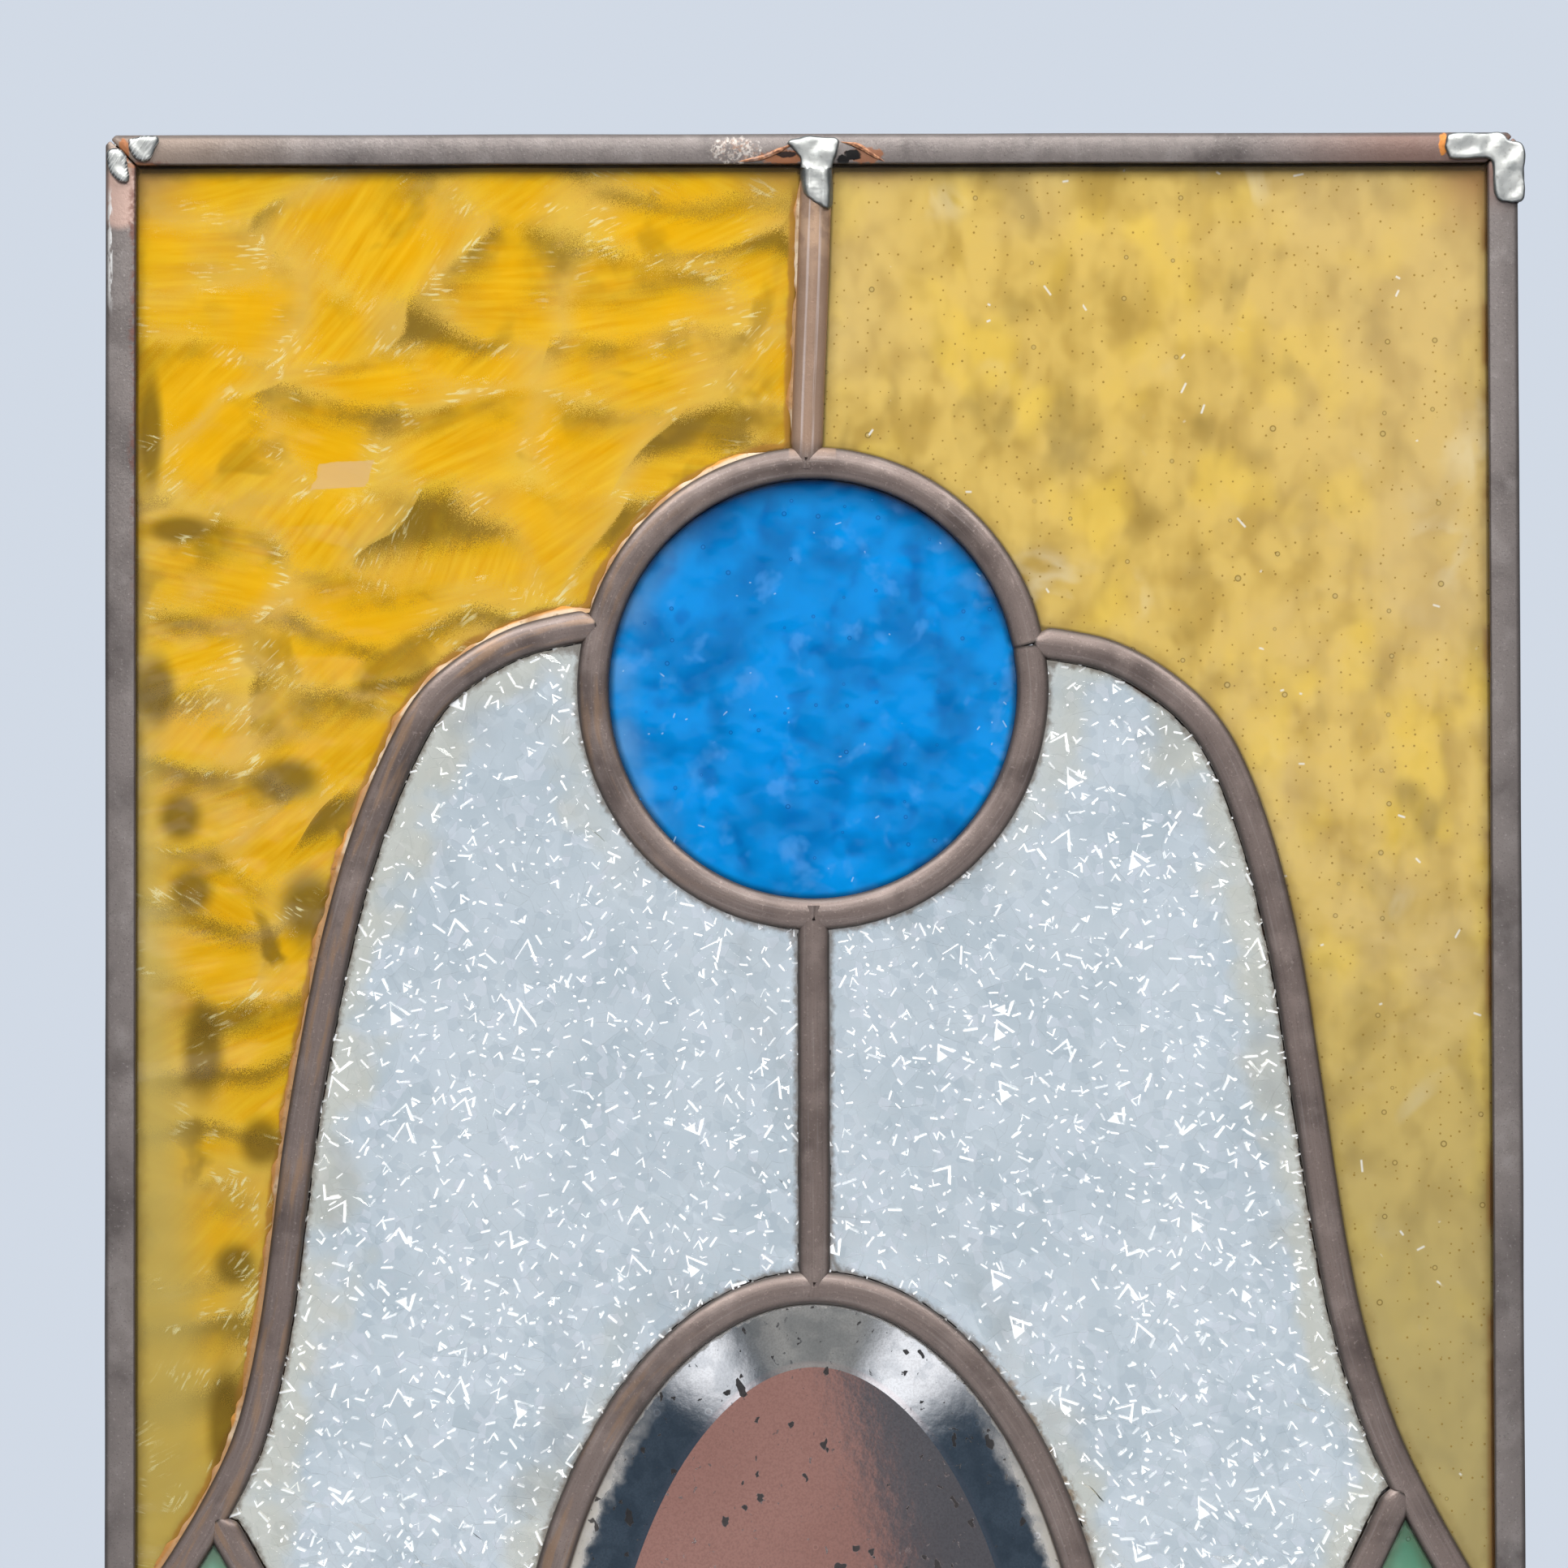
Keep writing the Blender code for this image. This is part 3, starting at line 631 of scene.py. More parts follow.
def deep_amber_recipe():
    """Deep amber: gold cells that melt into each other, each with a painted brown shadow under its top and a
    painted bright caustic rim below, fine fibres, and clusters of pale painted glints at the cells' ends.
    Dark patches and the listed places are painted shadows too. Down the left side it turns to straw."""
    mix = Recipe("deep_amber_glass")
    bend = mix.parts(mix.cloud(26, 1, out=1))
    melt = mix.cloud(7000, 1) - 0.5
    across = mix.x * 31 + bend[0] * 1.2 + melt * 0.30
    up = mix.z * 66 + bend[2] * 1.9 + melt * 0.75
    aside, above, reach, dice = mix.cells(across, up)
    edge = mix.to_cell_edge(across, up)
    patchy = mix.cloud(75, 3)
    along, beside = mix.turned(mix.x, mix.z, (dice[2] - 0.5) * 1.9 + 0.35)
    fibre = mix.cloud(1.0, 3, mix.vector(along * 65, beside * 700, dice[0] * 7))
    stroke = mix.cloud(1.0, 1, mix.vector(along * 260, beside * 1500, dice[1] * 7))
    top = mix.step(above, 0.0, 0.28)
    side = mix.step(edge, 0.34, 0.0) * mix.step(aside.math("ABSOLUTE"), 0.12, 0.42)
    # Painted shadow: a brown crescent under each cell's top edge, the ripple's shadow seen through the
    # glass.
    crescent_shadow = mix.step(edge + (patchy - 0.5) * 0.55, 0.56, 0.06) * top
    crescent_shadow = crescent_shadow * mix.step(dice[1] + (patchy - 0.5) * 1.8, 0.16, 0.78)
    # Painted caustic light: a bright rim along the lower edge of some cells.
    rim = mix.step(edge, 0.30, 0.0) * mix.step(above, -0.05, -0.30) * mix.step(patchy, 0.35, 0.65)
    mix.tone = mix.blend(mix.step(fibre, 0.25, 0.75), (0.86, 0.45, 0.000), (0.96, 0.60, 0.020))
    mix.lay(mix.patch(46, 2, 0.42, 0.66) * 0.55, (0.98, 0.55, 0.000))
    mix.lay(side * 0.55, (0.80, 0.56, 0.140))
    mix.lay(mix.patch(30, 4, 0.54, 0.70) * 0.6, (0.74, 0.49, 0.090))
    mix.lay(crescent_shadow * 0.90, (0.250, 0.150, 0.015))
    mix.lay(rim * 0.40, (1.00, 0.74, 0.090))
    # Painted shadow: dark brown patches, more of them low down.
    low = mix.step(mix.z, 0.385, 0.350) * 0.35 + 0.45
    mix.lay(mix.patch(52, 3, 0.58, 0.70, warp=0.5) * low, (0.30, 0.17, 0.010))
    straw = mix.step(mix.x + 0.139 - (0.405 - mix.z) * 0.075, 0.006, -0.006) * mix.step(mix.z, 0.405, 0.380)
    mix.lay(straw * 0.8, (0.66, 0.51, 0.150))
    mix.lay(mix.step(mix.z, 0.30, 0.19) * 0.4, (0.58, 0.42, 0.080))
    putty = mix.attribute("from_lead") + (mix.cloud(130, 3) - 0.5) * 0.0024
    putty = mix.step(putty, 0.0020, 0.0012) * mix.step(mix.x, -0.134, -0.130) * mix.step(mix.z, 0.470, 0.466)
    mix.lay(putty * 0.85, (0.58, 0.275, 0.045))
    shadow = mix.near(*AMBER_SHADOWS[0], 0.35)
    for place in AMBER_SHADOWS[1:]:
        shadow = shadow.math("MAXIMUM", mix.near(*place, 0.35))
    mix.lay(shadow * 0.80, (0.200, 0.115, 0.010))
    # Painted highlights: pale strokes in clusters at the cells' ends.
    glint = side * mix.patch(125, 2, 0.50, 0.60) * mix.step(stroke, 0.55, 0.64)
    mix.lay(glint * 0.9, (1.0, 0.93, 0.50))
    ragged = (mix.cloud(420, 2) - 0.5) * 0.0016
    slant = mix.z - AMBER_TAG.y - (mix.x - AMBER_TAG.x) * 0.07
    tag = mix.step((mix.x - AMBER_TAG.x - slant * 0.35 + ragged).math("ABSOLUTE"), 0.0058, 0.0055)
    tag = tag * mix.step((slant + ragged * 0.4).math("ABSOLUTE"), 0.0028, 0.0025)
    mix.lay(tag * 0.85, (0.86, 0.58, 0.235))
    mix.lay(mix.near((-0.1405, 0.4755), 0.020) * 0.75, (0.40, 0.20, 0.110))
    mix.lay(mix.near((-0.0060, 0.4755), 0.018, 0.012) * 0.7, (0.34, 0.165, 0.060))
    dirt_and_shade_by_lead(mix)
    return mix.finish(
        Base_Color=mix.tone,
        Roughness=0.08,
        IOR=1.5,
        Transmission_Weight=0.5,
        Normal=mix.bump(patchy + fibre * 0.12, 0.0005, 0.25),
    )


def dirt_and_shade_by_lead(mix):
    """Grime and painted shade on the glass close against the lead, and a painted shadow under the top
    border.
    """
    edge = mix.attribute("from_lead")
    ragged = edge + (mix.cloud(260, 3) - 0.5) * 0.0034
    # Brown near the lead: partly grime, partly painted shade.
    mix.lay(mix.step(ragged, 0.0030, 0.0) * 0.32, (0.20, 0.105, 0.018))
    # Painted shadow of the top border: a dark band just under it.
    mix.lay(mix.step(mix.z, 0.4705, 0.4735) * 0.50, (0.120, 0.078, 0.022))
    # Painted shade: a thin dark line right against the lead.
    mix.lay(mix.step(edge, 0.0007, 0.0) * 0.6, (0.030, 0.017, 0.010))


def seeds(mix, spacing, size, share, ring, core):
    """Lays round bubbles of this radius on the glass, in this share of a scatter's cells."""
    aside, above, reach, dice = mix.cells(mix.x / spacing, mix.z / spacing)
    there = mix.step(dice[0], share, share - 0.02)
    radius = size / spacing * (0.6 + dice[1] * 0.7)
    mix.lay(mix.step(reach - radius, 0.02, 0.0) * there * 0.7, ring)
    mix.lay(mix.step(reach - radius * 0.55, 0.02, 0.0) * there * 0.7, core)


def glints(mix, spacing, share, white, strength=1.0):
    """Lays painted glints in loose groups: short bright highlight strokes, each at its own angle."""
    aside, above, reach, dice = mix.cells(mix.x / spacing, mix.z / spacing)
    along, beside = mix.turned(aside, above, dice[2] * 6.28)
    length = 0.06 + dice[1] * dice[1] * 0.26
    stroke = mix.step(along.math("ABSOLUTE") - length, 0.05, -0.05)
    stroke = stroke * mix.step(beside.math("ABSOLUTE"), 0.080, 0.02)
    chosen = mix.step(dice[0] - mix.patch(60, 2, 0.50, 0.62) * share, 0.0, -0.02)
    mix.lay(stroke * chosen * strength, white)


def pale_amber_recipe():
    """Paler amber, milky, with soft olive-brown clouds, seeds and a few painted white glints."""
    mix = Recipe("pale_amber_glass")
    tall = mix.vector(mix.x * 1.15, 0.0, mix.z * 0.82)
    clouds = mix.cloud(92, 2, tall, warp=0.25)
    mix.tone = mix.blend(mix.step(clouds, 0.28, 0.62), (0.60, 0.400, 0.085), (0.87, 0.625, 0.165))
    mix.lay(mix.step(mix.cloud(52, 2, tall), 0.50, 0.66) * 0.6, (1.0, 0.72, 0.110))
    deep = mix.step(mix.cloud(74, 2, tall, warp=0.3), 0.52, 0.78) * 0.62
    mix.lay(deep, (0.34, 0.225, 0.045))
    haze = mix.step(mix.x, 0.060, 0.134) * mix.step(mix.z, 0.350, 0.440)
    haze = haze + mix.patch(17, 3, 0.50, 0.68)
    haze = haze + mix.step(mix.x, 0.030, 0.004) * mix.step(mix.z, 0.418, 0.440) * 0.7
    mix.lay(haze.math("MINIMUM", 1.0) * 0.5, (0.80, 0.600, 0.290))
    wisp = mix.cloud(26, 4, tall, warp=0.6)
    wisp = mix.step((wisp - 0.5).math("ABSOLUTE"), 0.045, 0.0) * mix.patch(33, 2, 0.54, 0.68)
    mix.lay(wisp * 0.40, (0.98, 0.88, 0.62))
    mix.lay(mix.step(mix.z, 0.36, 0.20) * 0.75, (0.54, 0.455, 0.215))
    seeds(mix, 0.0022, 0.00018, 0.4, (0.40, 0.24, 0.04), (0.40, 0.24, 0.04))
    seeds(mix, 0.0105, 0.00045, 0.35, (0.20, 0.12, 0.02), (0.86, 0.66, 0.24))
    glints(mix, 0.0040, 0.12, (1.0, 0.97, 0.88))
    mix.lay(mix.near((0.139, 0.474), 0.020) * 0.75, (0.40, 0.165, 0.065))
    mix.lay(mix.near((0.012, 0.4750), 0.024, 0.0080) * 0.7, (0.33, 0.175, 0.095))
    rust = mix.step(mix.x, 0.1370, 0.1388) * mix.patch(60, 3, 0.45, 0.60)
    mix.lay(rust * 0.8, (0.30, 0.09, 0.012))
    dirt_and_shade_by_lead(mix)
    return mix.finish(
        Base_Color=mix.tone,
        Roughness=0.12,
        IOR=1.5,
        Transmission_Weight=0.5,
        Normal=mix.bump(clouds + mix.cloud(150, 2) * 0.3, 0.0004, 0.5),
    )


ambers = {"left": deep_amber_recipe(), "right": pale_amber_recipe()}
for side, relief, slot in (("left", ripple, "deep_amber_glass"), ("right", seedy, "pale_amber_glass")):
    for part in ("upper", "lower"):
        relief_pane(
            f"{part}_amber_{side}", AMBER_GRID, lambda place: relief(place, 4),
            lambda place: relief(place, 17) * 0.4, ambers[side],
        )


# The roundel: a disc of strong blue hammered glass, let into its lead ring.
ROUNDEL_GRID = 0.0010
HAMMER_RISE = 0.00020


def blue_recipe():
    mix = Recipe("blue_glass")
    broad = mix.cloud(62, 2, warp=0.3)
    spots = mix.cloud(165, 1.5, warp=0.2)
    pale = mix.step(broad + spots * 0.5, 0.55, 0.92)
    mix.tone = mix.blend(pale, (0.000, 0.222, 0.60), (0.000, 0.362, 0.90))
    mix.lay(mix.patch(120, 3, 0.58, 0.72, warp=0.2) * 0.6, (0.105, 0.43, 0.93))
    mix.lay(mix.step(spots, 0.42, 0.26) * 0.5, (0.000, 0.165, 0.52))
    rim = mix.attribute("from_lead")
    # Painted shadow of the lead ring: dark blue inside the rim at the top of the roundel.
    ring_shadow = mix.step(rim, 0.0070, 0.0) * mix.step(mix.z, 0.372, 0.412)
    mix.lay(ring_shadow * 0.75, (0.0, 0.040, 0.17))
    haze = mix.step(rim, 0.008, 0.001) * mix.step(mix.x, -0.018, -0.038)
    haze = haze * mix.patch(90, 3, 0.40, 0.62)
    mix.lay(haze * 0.6, (0.16, 0.42, 0.76))
    # Painted shade: a thin dark line right against the lead.
    mix.lay(mix.step(rim, 0.0016, 0.0) * 0.75, (0.0, 0.018, 0.07))
    seeds(mix, 0.0060, 0.00035, 0.3, (0.0, 0.09, 0.34), (0.02, 0.33, 0.84))
    glints(mix, 0.0026, 0.16, (0.50, 0.76, 1.0), 0.7)
    return mix.finish(
        Base_Color=mix.tone,
        Roughness=0.08,
        IOR=1.5,
        Transmission_Weight=0.5,
        Normal=mix.bump(spots, 0.0005, 0.5),
    )


def hammered(place):
    return HAMMER_RISE * (wave(place, 0.0065, 8) + 0.4 * wave(place, 0.003, 21))


relief_pane(
    "blue_roundel", ROUNDEL_GRID, hammered, lambda place: hammered(place) * 0.4,
    blue_recipe(),
)


# The bell: two panes of clear crackle glass, chilled in water as it was made, so that its face broke
# into small sharp facets. It is see-through. Its glints are painted: white marks in a shader that glows a
# little.
CRACKLE_GRID = 0.0024
CRACKLE_RISE = 0.00016
SHARD_GLINT_WHITE = (0.97, 0.985, 1.0)


def splinter_glints(mix, spacing, share, longest, thick):
    """White marks where the light catches the cracks: short strokes with round ends, at any angle."""
    aside, above, reach, dice = mix.cells(mix.x / spacing, mix.z / spacing)
    along, beside = mix.turned(aside, above, (dice[2] - 0.5) * 2.6)
    past = (along.math("ABSOLUTE") - longest * (0.35 + dice[1] * 0.65)).math("MAXIMUM", 0.0)
    away = (past * past + beside * beside).math("SQRT") - thick * (0.4 + dice[1] * 0.6)
    bright = 1.0 - dice[0] * (0.70 / share)
    return mix.step(away, 0.02, 0.0) * mix.step(dice[0], share, share - 0.01) * bright


def shard_glints(mix, spacing, share, size, stroke):
    """Larger painted glints: small tents with no base, most of them upright. One side is the thicker, and
    some are partly filled."""
    aside, above, reach, dice = mix.cells(mix.x / spacing, mix.z / spacing)
    along, beside = mix.turned(aside, above, (dice[2] - 0.5) * 1.5)
    way = mix.step(dice[1], 0.26, 0.27) * 2.0 - 1.0
    rise = beside * way
    reach = size * (0.6 + dice[1] * 0.6)
    sides = (along + dice[0] * 0.05).math("ABSOLUTE") * (1.1 + dice[1] * 0.9) + rise
    above_base = mix.step(rise * -1.0 - reach * 0.62, 0.02, 0.0)
    width = stroke * (0.35 + mix.step(along, -0.16, 0.20) * 0.9)
    outline = mix.step((sides - reach).math("ABSOLUTE") - width, 0.02, 0.0) * above_base
    outline = outline * mix.step(mix.cloud(1.2 / spacing, 1), 0.36, 0.48)
    filled = mix.step(sides - reach, 0.0, -0.03) * above_base * mix.step(dice[2], 0.74, 0.76)
    filled = filled * mix.step(along * 1.4 + rise * 0.6 + reach * 0.3, 0.02, 0.0)
    return (outline + filled) * mix.step(dice[0], share, share - 0.01)


def fleck_glints(mix, spacing, size, share):
    """Small painted glints: bright dots among the larger marks."""
    aside, above, reach, dice = mix.cells(mix.x / spacing, mix.z / spacing)
    along, beside = mix.turned(aside, above, dice[2] * 6.28)
    away = (along * along + beside * beside * 3.0).math("SQRT")
    return mix.step(away - size * (0.4 + dice[1]), 0.05, 0.0) * mix.step(dice[0], share, share - 0.01)


def crackle_recipe():
    mix = Recipe("crackle_glass")
    x_bent = mix.x + (mix.cloud(160, 1) - 0.5) * 0.0016
    flakes = mix.cells(x_bent * 210, mix.z * 175)[3]
    small = mix.cells(mix.x * 520, mix.z * 480)[3]
    soft = mix.cloud(36, 3)
    mix.tone = mix.blend(mix.step(soft, 0.36, 0.64), (0.74, 0.795, 0.79), (0.88, 0.915, 0.895))
    mix.lay(flakes[0] * flakes[0] * 0.65, (0.95, 0.98, 0.97))
    mix.lay(mix.step(small[0], 0.80, 0.86) * 0.22, (0.54, 0.61, 0.64))
    # Painted glints: some small cells laid white.
    mix.lay(mix.step(small[1], 0.88, 0.94) * 0.50, (1.0, 1.0, 1.0))
    edge = mix.attribute("from_lead")
    outer = mix.step(mix.x.math("ABSOLUTE"), 0.030, 0.060)
    stain = mix.step(edge + (mix.cloud(70, 3) - 0.5) * 0.034, 0.010, 0.002) * outer
    mix.lay(stain * 0.65, (0.92, 0.83, 0.62))
    shade = mix.patch(48, 3, 0.52, 0.68) * mix.step(edge, 0.020, 0.004)
    mix.lay(shade * 0.45, (0.50, 0.50, 0.46))
    grime = mix.step(edge + (mix.cloud(620, 4) - 0.5) * 0.0030, 0.0014, 0.0)
    mix.lay(grime * 0.75, (0.22, 0.15, 0.095))
    right_ring = mix.near((0.050, 0.214), 0.036, 0.030, 0.5) * mix.patch(420, 3, 0.52, 0.62)
    mix.lay(right_ring * mix.step(edge, 0.0026, 0.0008) * 0.8, (0.30, 0.155, 0.06))
    glass = mix.finish(
        Base_Color=mix.tone,
        Roughness=0.06,
        IOR=1.5,
        Transmission_Weight=1.0,
        Normal=mix.bump(flakes[1] + small[1] * 0.4, 0.0004, 0.5),
    )
    # The white marks are painted glints.
    marks = splinter_glints(mix, 0.0034, 0.42, 0.23, 0.052) + splinter_glints(mix, 0.0052, 0.40, 0.27, 0.036)
    marks = marks + shard_glints(mix, 0.0060, 0.42, 0.15, 0.040) + fleck_glints(mix, 0.0026, 0.10, 0.26)
    marks = marks + shard_glints(mix, 0.0125, 0.40, 0.17, 0.026)
    # Painted glints: a white shader that glows a little, though it is no lamp, laid over the glass by the
    # marks.
    glint = {"Base Color": SHARD_GLINT_WHITE, "Roughness": 0.25, "Emission Color": SHARD_GLINT_WHITE, "Emission Strength": 0.35}
    white = mix.node("ShaderNodeBsdfPrincipled", None, glint)
    inputs = {0: marks.math("MINIMUM", 1.0) * 0.90, 1: Wire(mix.tree, mix.shader.outputs[0]), 2: white}
    both = mix.node("ShaderNodeMixShader", None, inputs)
    plug(mix.tree, mix.tree.nodes["Material Output"].inputs["Surface"], both)
    return glass


def shattered(place):
    """A facet's corner stands at a height of its own."""
    return CRACKLE_RISE * noise.cell(place * 1300)


crackle = crackle_recipe()
for side in ("left", "right"):
    relief_pane(
        f"crackle_{side}", CRACKLE_GRID, shattered, lambda place: 0.0,
        crackle, jitter=0.36, sharp=None,
    )


# The leaves: soft green glass in the panel's lower corners, with a gentle ripple.
LEAF_GRID = 0.00125


def green_recipe():
    mix = Recipe("green_glass")
    mix.tone = mix.blend(mix.patch(60, 3, 0.35, 0.65), (0.16, 0.40, 0.25), (0.34, 0.62, 0.43))
    mix.lay(mix.patch(26, 2, 0.5, 0.7) * 0.4, (0.46, 0.72, 0.55))
    seeds(mix, 0.0060, 0.00035, 0.3, (0.08, 0.20, 0.12), (0.40, 0.65, 0.50))
    dirt_and_shade_by_lead(mix)
    return mix.finish(
        Base_Color=mix.tone,
        Roughness=0.08,
        IOR=1.5,
        Transmission_Weight=0.55,
        Normal=mix.bump(mix.cloud(110, 3), 0.0007, 0.6),
    )


green = green_recipe()
for side in ("left", "right"):
    relief_pane(
        f"leaf_{side}", LEAF_GRID, lambda place: seedy(place, 6),
        lambda place: seedy(place, 13), green,
    )


# The oval mirror: 5 mm plate, silvered behind, its face ground down in a wide bevel to a thin edge.
# The silver has aged: it is warm, specked with dark spots and pale where damp got in at the edge.
MIRROR_BEVEL = 0.0150
MIRROR_STEPS = 180
MIRROR_SHARP = math.radians(3)


def mirror_recipe():
    mix = Recipe("aged_mirror")
    edge = mix.attribute("from_lead")
    bend = mix.cloud(420, 2)
    aside, above, reach, dice = mix.cells(mix.x * 300 + bend * 1.1, mix.z * 190 - bend * 0.9)
    specks = mix.step(reach - dice[1] * dice[1] * 0.22, 0.11, 0.06) * mix.step(dice[0], 0.26, 0.24)
    specks = specks + mix.patch(620, 3, 0.66, 0.72, warp=0.8) * mix.step(edge, 0.020, 0.006)
    grain = mix.cloud(2400, 2)
    low_down = mix.step(mix.z, 0.226, 0.196)
    crust = mix.step(edge + (mix.cloud(360, 6) - 0.5) * 0.005, 0.0042, 0.0004) * low_down
    bloom = crust.math("MAXIMUM", mix.step(edge + (mix.cloud(500, 3) - 0.5) * 0.002, 0.0010, 0.0004) * 0.6)
    mix.tone = mix.blend(mix.patch(40, 3, 0.3, 0.7), (0.80, 0.77, 0.76), (0.90, 0.88, 0.87))
    mix.lay(mix.step(grain, 0.62, 0.30) * 0.35, (0.50, 0.47, 0.46))
    tarnish = mix.patch(170, 5, 0.44, 0.62, warp=0.4) * mix.step(edge, 0.0124, 0.0118)
    mix.lay(tarnish * 0.45, (0.40, 0.42, 0.44))
    mix.lay(bloom * 0.8, (0.60, 0.55, 0.47))
    # Painted highlight: a pale pinkish line along the bevel's inner edge.
    bevel_edge_highlight = mix.step((edge - 0.0122).math("ABSOLUTE"), 0.0009, 0.0002)
    mix.lay(bevel_edge_highlight * 0.35, (1.0, 0.80, 0.78))
    dark = specks.math("MINIMUM", 1.0)
    mix.lay(dark * 0.92, (0.030, 0.026, 0.026))
    seeds(mix, 0.0110, 0.00060, 0.30, (0.98, 0.96, 0.95), (0.62, 0.58, 0.57))
    mix.lay(mix.step(edge, 0.0006, 0.0) * 0.85, (0.12, 0.075, 0.05))
    return mix.finish(
        Base_Color=mix.tone,
        Metallic=1.0 - 0.7 * bloom,
        Roughness=0.05 + bloom * 0.4 + dark * 0.3,
        Coat_Weight=0.25,
        Normal=mix.bump(mix.cloud(300, 2) + grain * 0.15, 0.00003, 0.35),
    )


low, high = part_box("bevelled_mirror")
bm = bmesh.new()
bmesh.ops.create_circle(bm, cap_ends=True, segments=MIRROR_STEPS, radius=1)
bmesh.ops.scale(bm, vec=((high.x - low.x) / 2, (high.z - low.z) / 2, 1), verts=bm.verts)
bmesh.ops.rotate(bm, cent=(0, 0, 0), matrix=Matrix.Rotation(math.pi / 2, 3, "X"), verts=bm.verts)
bmesh.ops.translate(bm, vec=((low.x + high.x) / 2, GLASS_HALF, (low.z + high.z) / 2), verts=bm.verts)
thin = bmesh.ops.extrude_face_region(bm, geom=bm.faces[:])["geom"]
face_verts = [part for part in thin if isinstance(part, bmesh.types.BMVert)]
bmesh.ops.translate(bm, vec=(0, -2 * GLASS_HALF, 0), verts=face_verts)
bmesh.ops.recalc_face_normals(bm, faces=bm.faces)
front = [face for face in bm.faces if face.normal.y < -0.9]
bmesh.ops.inset_region(
    bm, faces=front, thickness=MIRROR_BEVEL, depth=-low.y - GLASS_HALF, use_even_offset=True
)
edge = bm.verts.layers.float.new("from_lead")
for vert in bm.verts:
    vert[edge] = from_lead(vert.co.x, vert.co.z)
piece("mirror_plate", bm, mirror_recipe(), ["bevelled_mirror"], MIRROR_SHARP)


# Solder: tin and lead, run over each joint of the border in an uneven lump. It is brighter than the
# lead. At the top it is cracked and torn, and at the top right corner it laps over the edge.
SOLDER_VOXEL = 0.00022
SOLDER_FLOAT = 0.0003
SOLDER_LUMP = 0.00042
SOLDER_SWELL = 0.00022
LEAD_FACE = 0.0033
SCRAPED_ANGLE = 0.95
HEAD_STRETCH = 0.30
SOLDER_ROUNDS = 9


def lead_face(x, z):
    """How far the lead's face stands out from the middle of the glass at a place."""
    if min(x - panel_low.x, panel_high.x - x, z - panel_low.z, panel_high.z - z) < BORDER_WIDTH:
        return LEAD_FACE
    share = lead_tree.find((x, 0, z))[2] / CAME_HALF
    return dome(share) if share < 1 else CAME_CHANNEL


def solder_recipe():
    """Solder: smooth, with painted light and shade: bright where it faces the front, dark grey on its
    flanks; scraped at the left corner.
    """
    mix = Recipe("old_solder")
    facing = mix.attribute("facing")
    lumps = mix.cloud(300, 3)
    along, beside = mix.turned(mix.x, mix.z, SCRAPED_ANGLE + mix.x * 0.0)
    scraped = mix.cloud(1.0, 2, mix.vector(along * 300, beside * 2600, 0.0))
    scraped = mix.step(scraped, 0.50, 0.62) * mix.step(mix.x, -0.02, -0.10)
    # Painted light and shade: lighter where the solder faces the front, darker where it turns away.
    painted_front_light = mix.step(facing + (lumps - 0.5) * 0.3, 0.72, 0.985)
    mix.tone = mix.blend(painted_front_light, (0.105, 0.115, 0.118), (0.56, 0.57, 0.55))
    mix.lay(mix.patch(420, 4, 0.50, 0.66) * 0.45, (0.27, 0.29, 0.29))
    mix.lay(mix.patch(1100, 4, 0.56, 0.70) * 0.35, (0.20, 0.19, 0.17))
    mix.lay(scraped * 0.6, (0.90, 0.90, 0.87))
    return mix.finish(
        Base_Color=mix.tone,
        Metallic=0.5,
        Roughness=0.30 + lumps * 0.2,
        Normal=mix.bump(lumps + scraped * 0.3 + mix.cloud(900, 3) * 0.3, 0.00018, 0.7),
    )


solder = solder_recipe()
for seed, node in enumerate(sorted(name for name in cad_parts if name.startswith("solder"))):
    bm = merged(node)
    blank = bpy.data.objects.new("blank", bpy.data.meshes.new("blank"))
    bm.to_mesh(blank.data)
    bm.free()
    bpy.context.scene.collection.objects.link(blank)
    remesh = blank.modifiers.new("melt", "REMESH")
    remesh.mode = "VOXEL"
    remesh.voxel_size = SOLDER_VOXEL
    bm = bmesh.new()
    bm.from_mesh(blank.evaluated_get(bpy.context.evaluated_depsgraph_get()).to_mesh())
    bpy.data.objects.remove(blank)
    facing = bm.verts.layers.float.new("facing")
    for turn in range(SOLDER_ROUNDS):
        bmesh.ops.smooth_vert(
            bm, verts=bm.verts, factor=0.6, use_axis_x=True, use_axis_y=True, use_axis_z=True
        )
    bm.normal_update()
    pushed = {
        vert: vert.normal * (SOLDER_SWELL + SOLDER_LUMP * wave(vert.co, 0.0030, seed)) for vert in bm.verts
    }
    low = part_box(node)[0]
    for vert, push in pushed.items():
        if node == "solder_top_left_head":
            vert.co.x += (vert.co.x - low.x) * HEAD_STRETCH
        outside = abs(vert.co.y) > LEAD_FACE
        vert.co += push
        if outside:
            drop = LEAD_FACE - lead_face(vert.co.x, vert.co.z) + SOLDER_FLOAT
            vert.co.y -= math.copysign(drop, vert.co.y)
    bm.normal_update()
    for vert in bm.verts:
        vert[facing] = abs(vert.normal.y)
    piece(f"{node}_run", bm, solder, [node])


# The torn joint: the middle joint has pulled open, and the border's lead is peeled back on each side
# of the solder in a thin rusty lip.
LIP_HALF = 0.00055
LIP_RISE = 0.00050
LIP_STATION = 0.0004
LIP_FOOT = 0.00025
TORN_LIPS = {
    "left": ((-0.0150, 0.47425), (-0.0105, 0.47500), (-0.0070, 0.47640), (-0.0036, 0.47800)),
    "right": ((0.0060, 0.47830), (0.0095, 0.47745), (0.0125, 0.47560), (0.0150, 0.47420)),
}


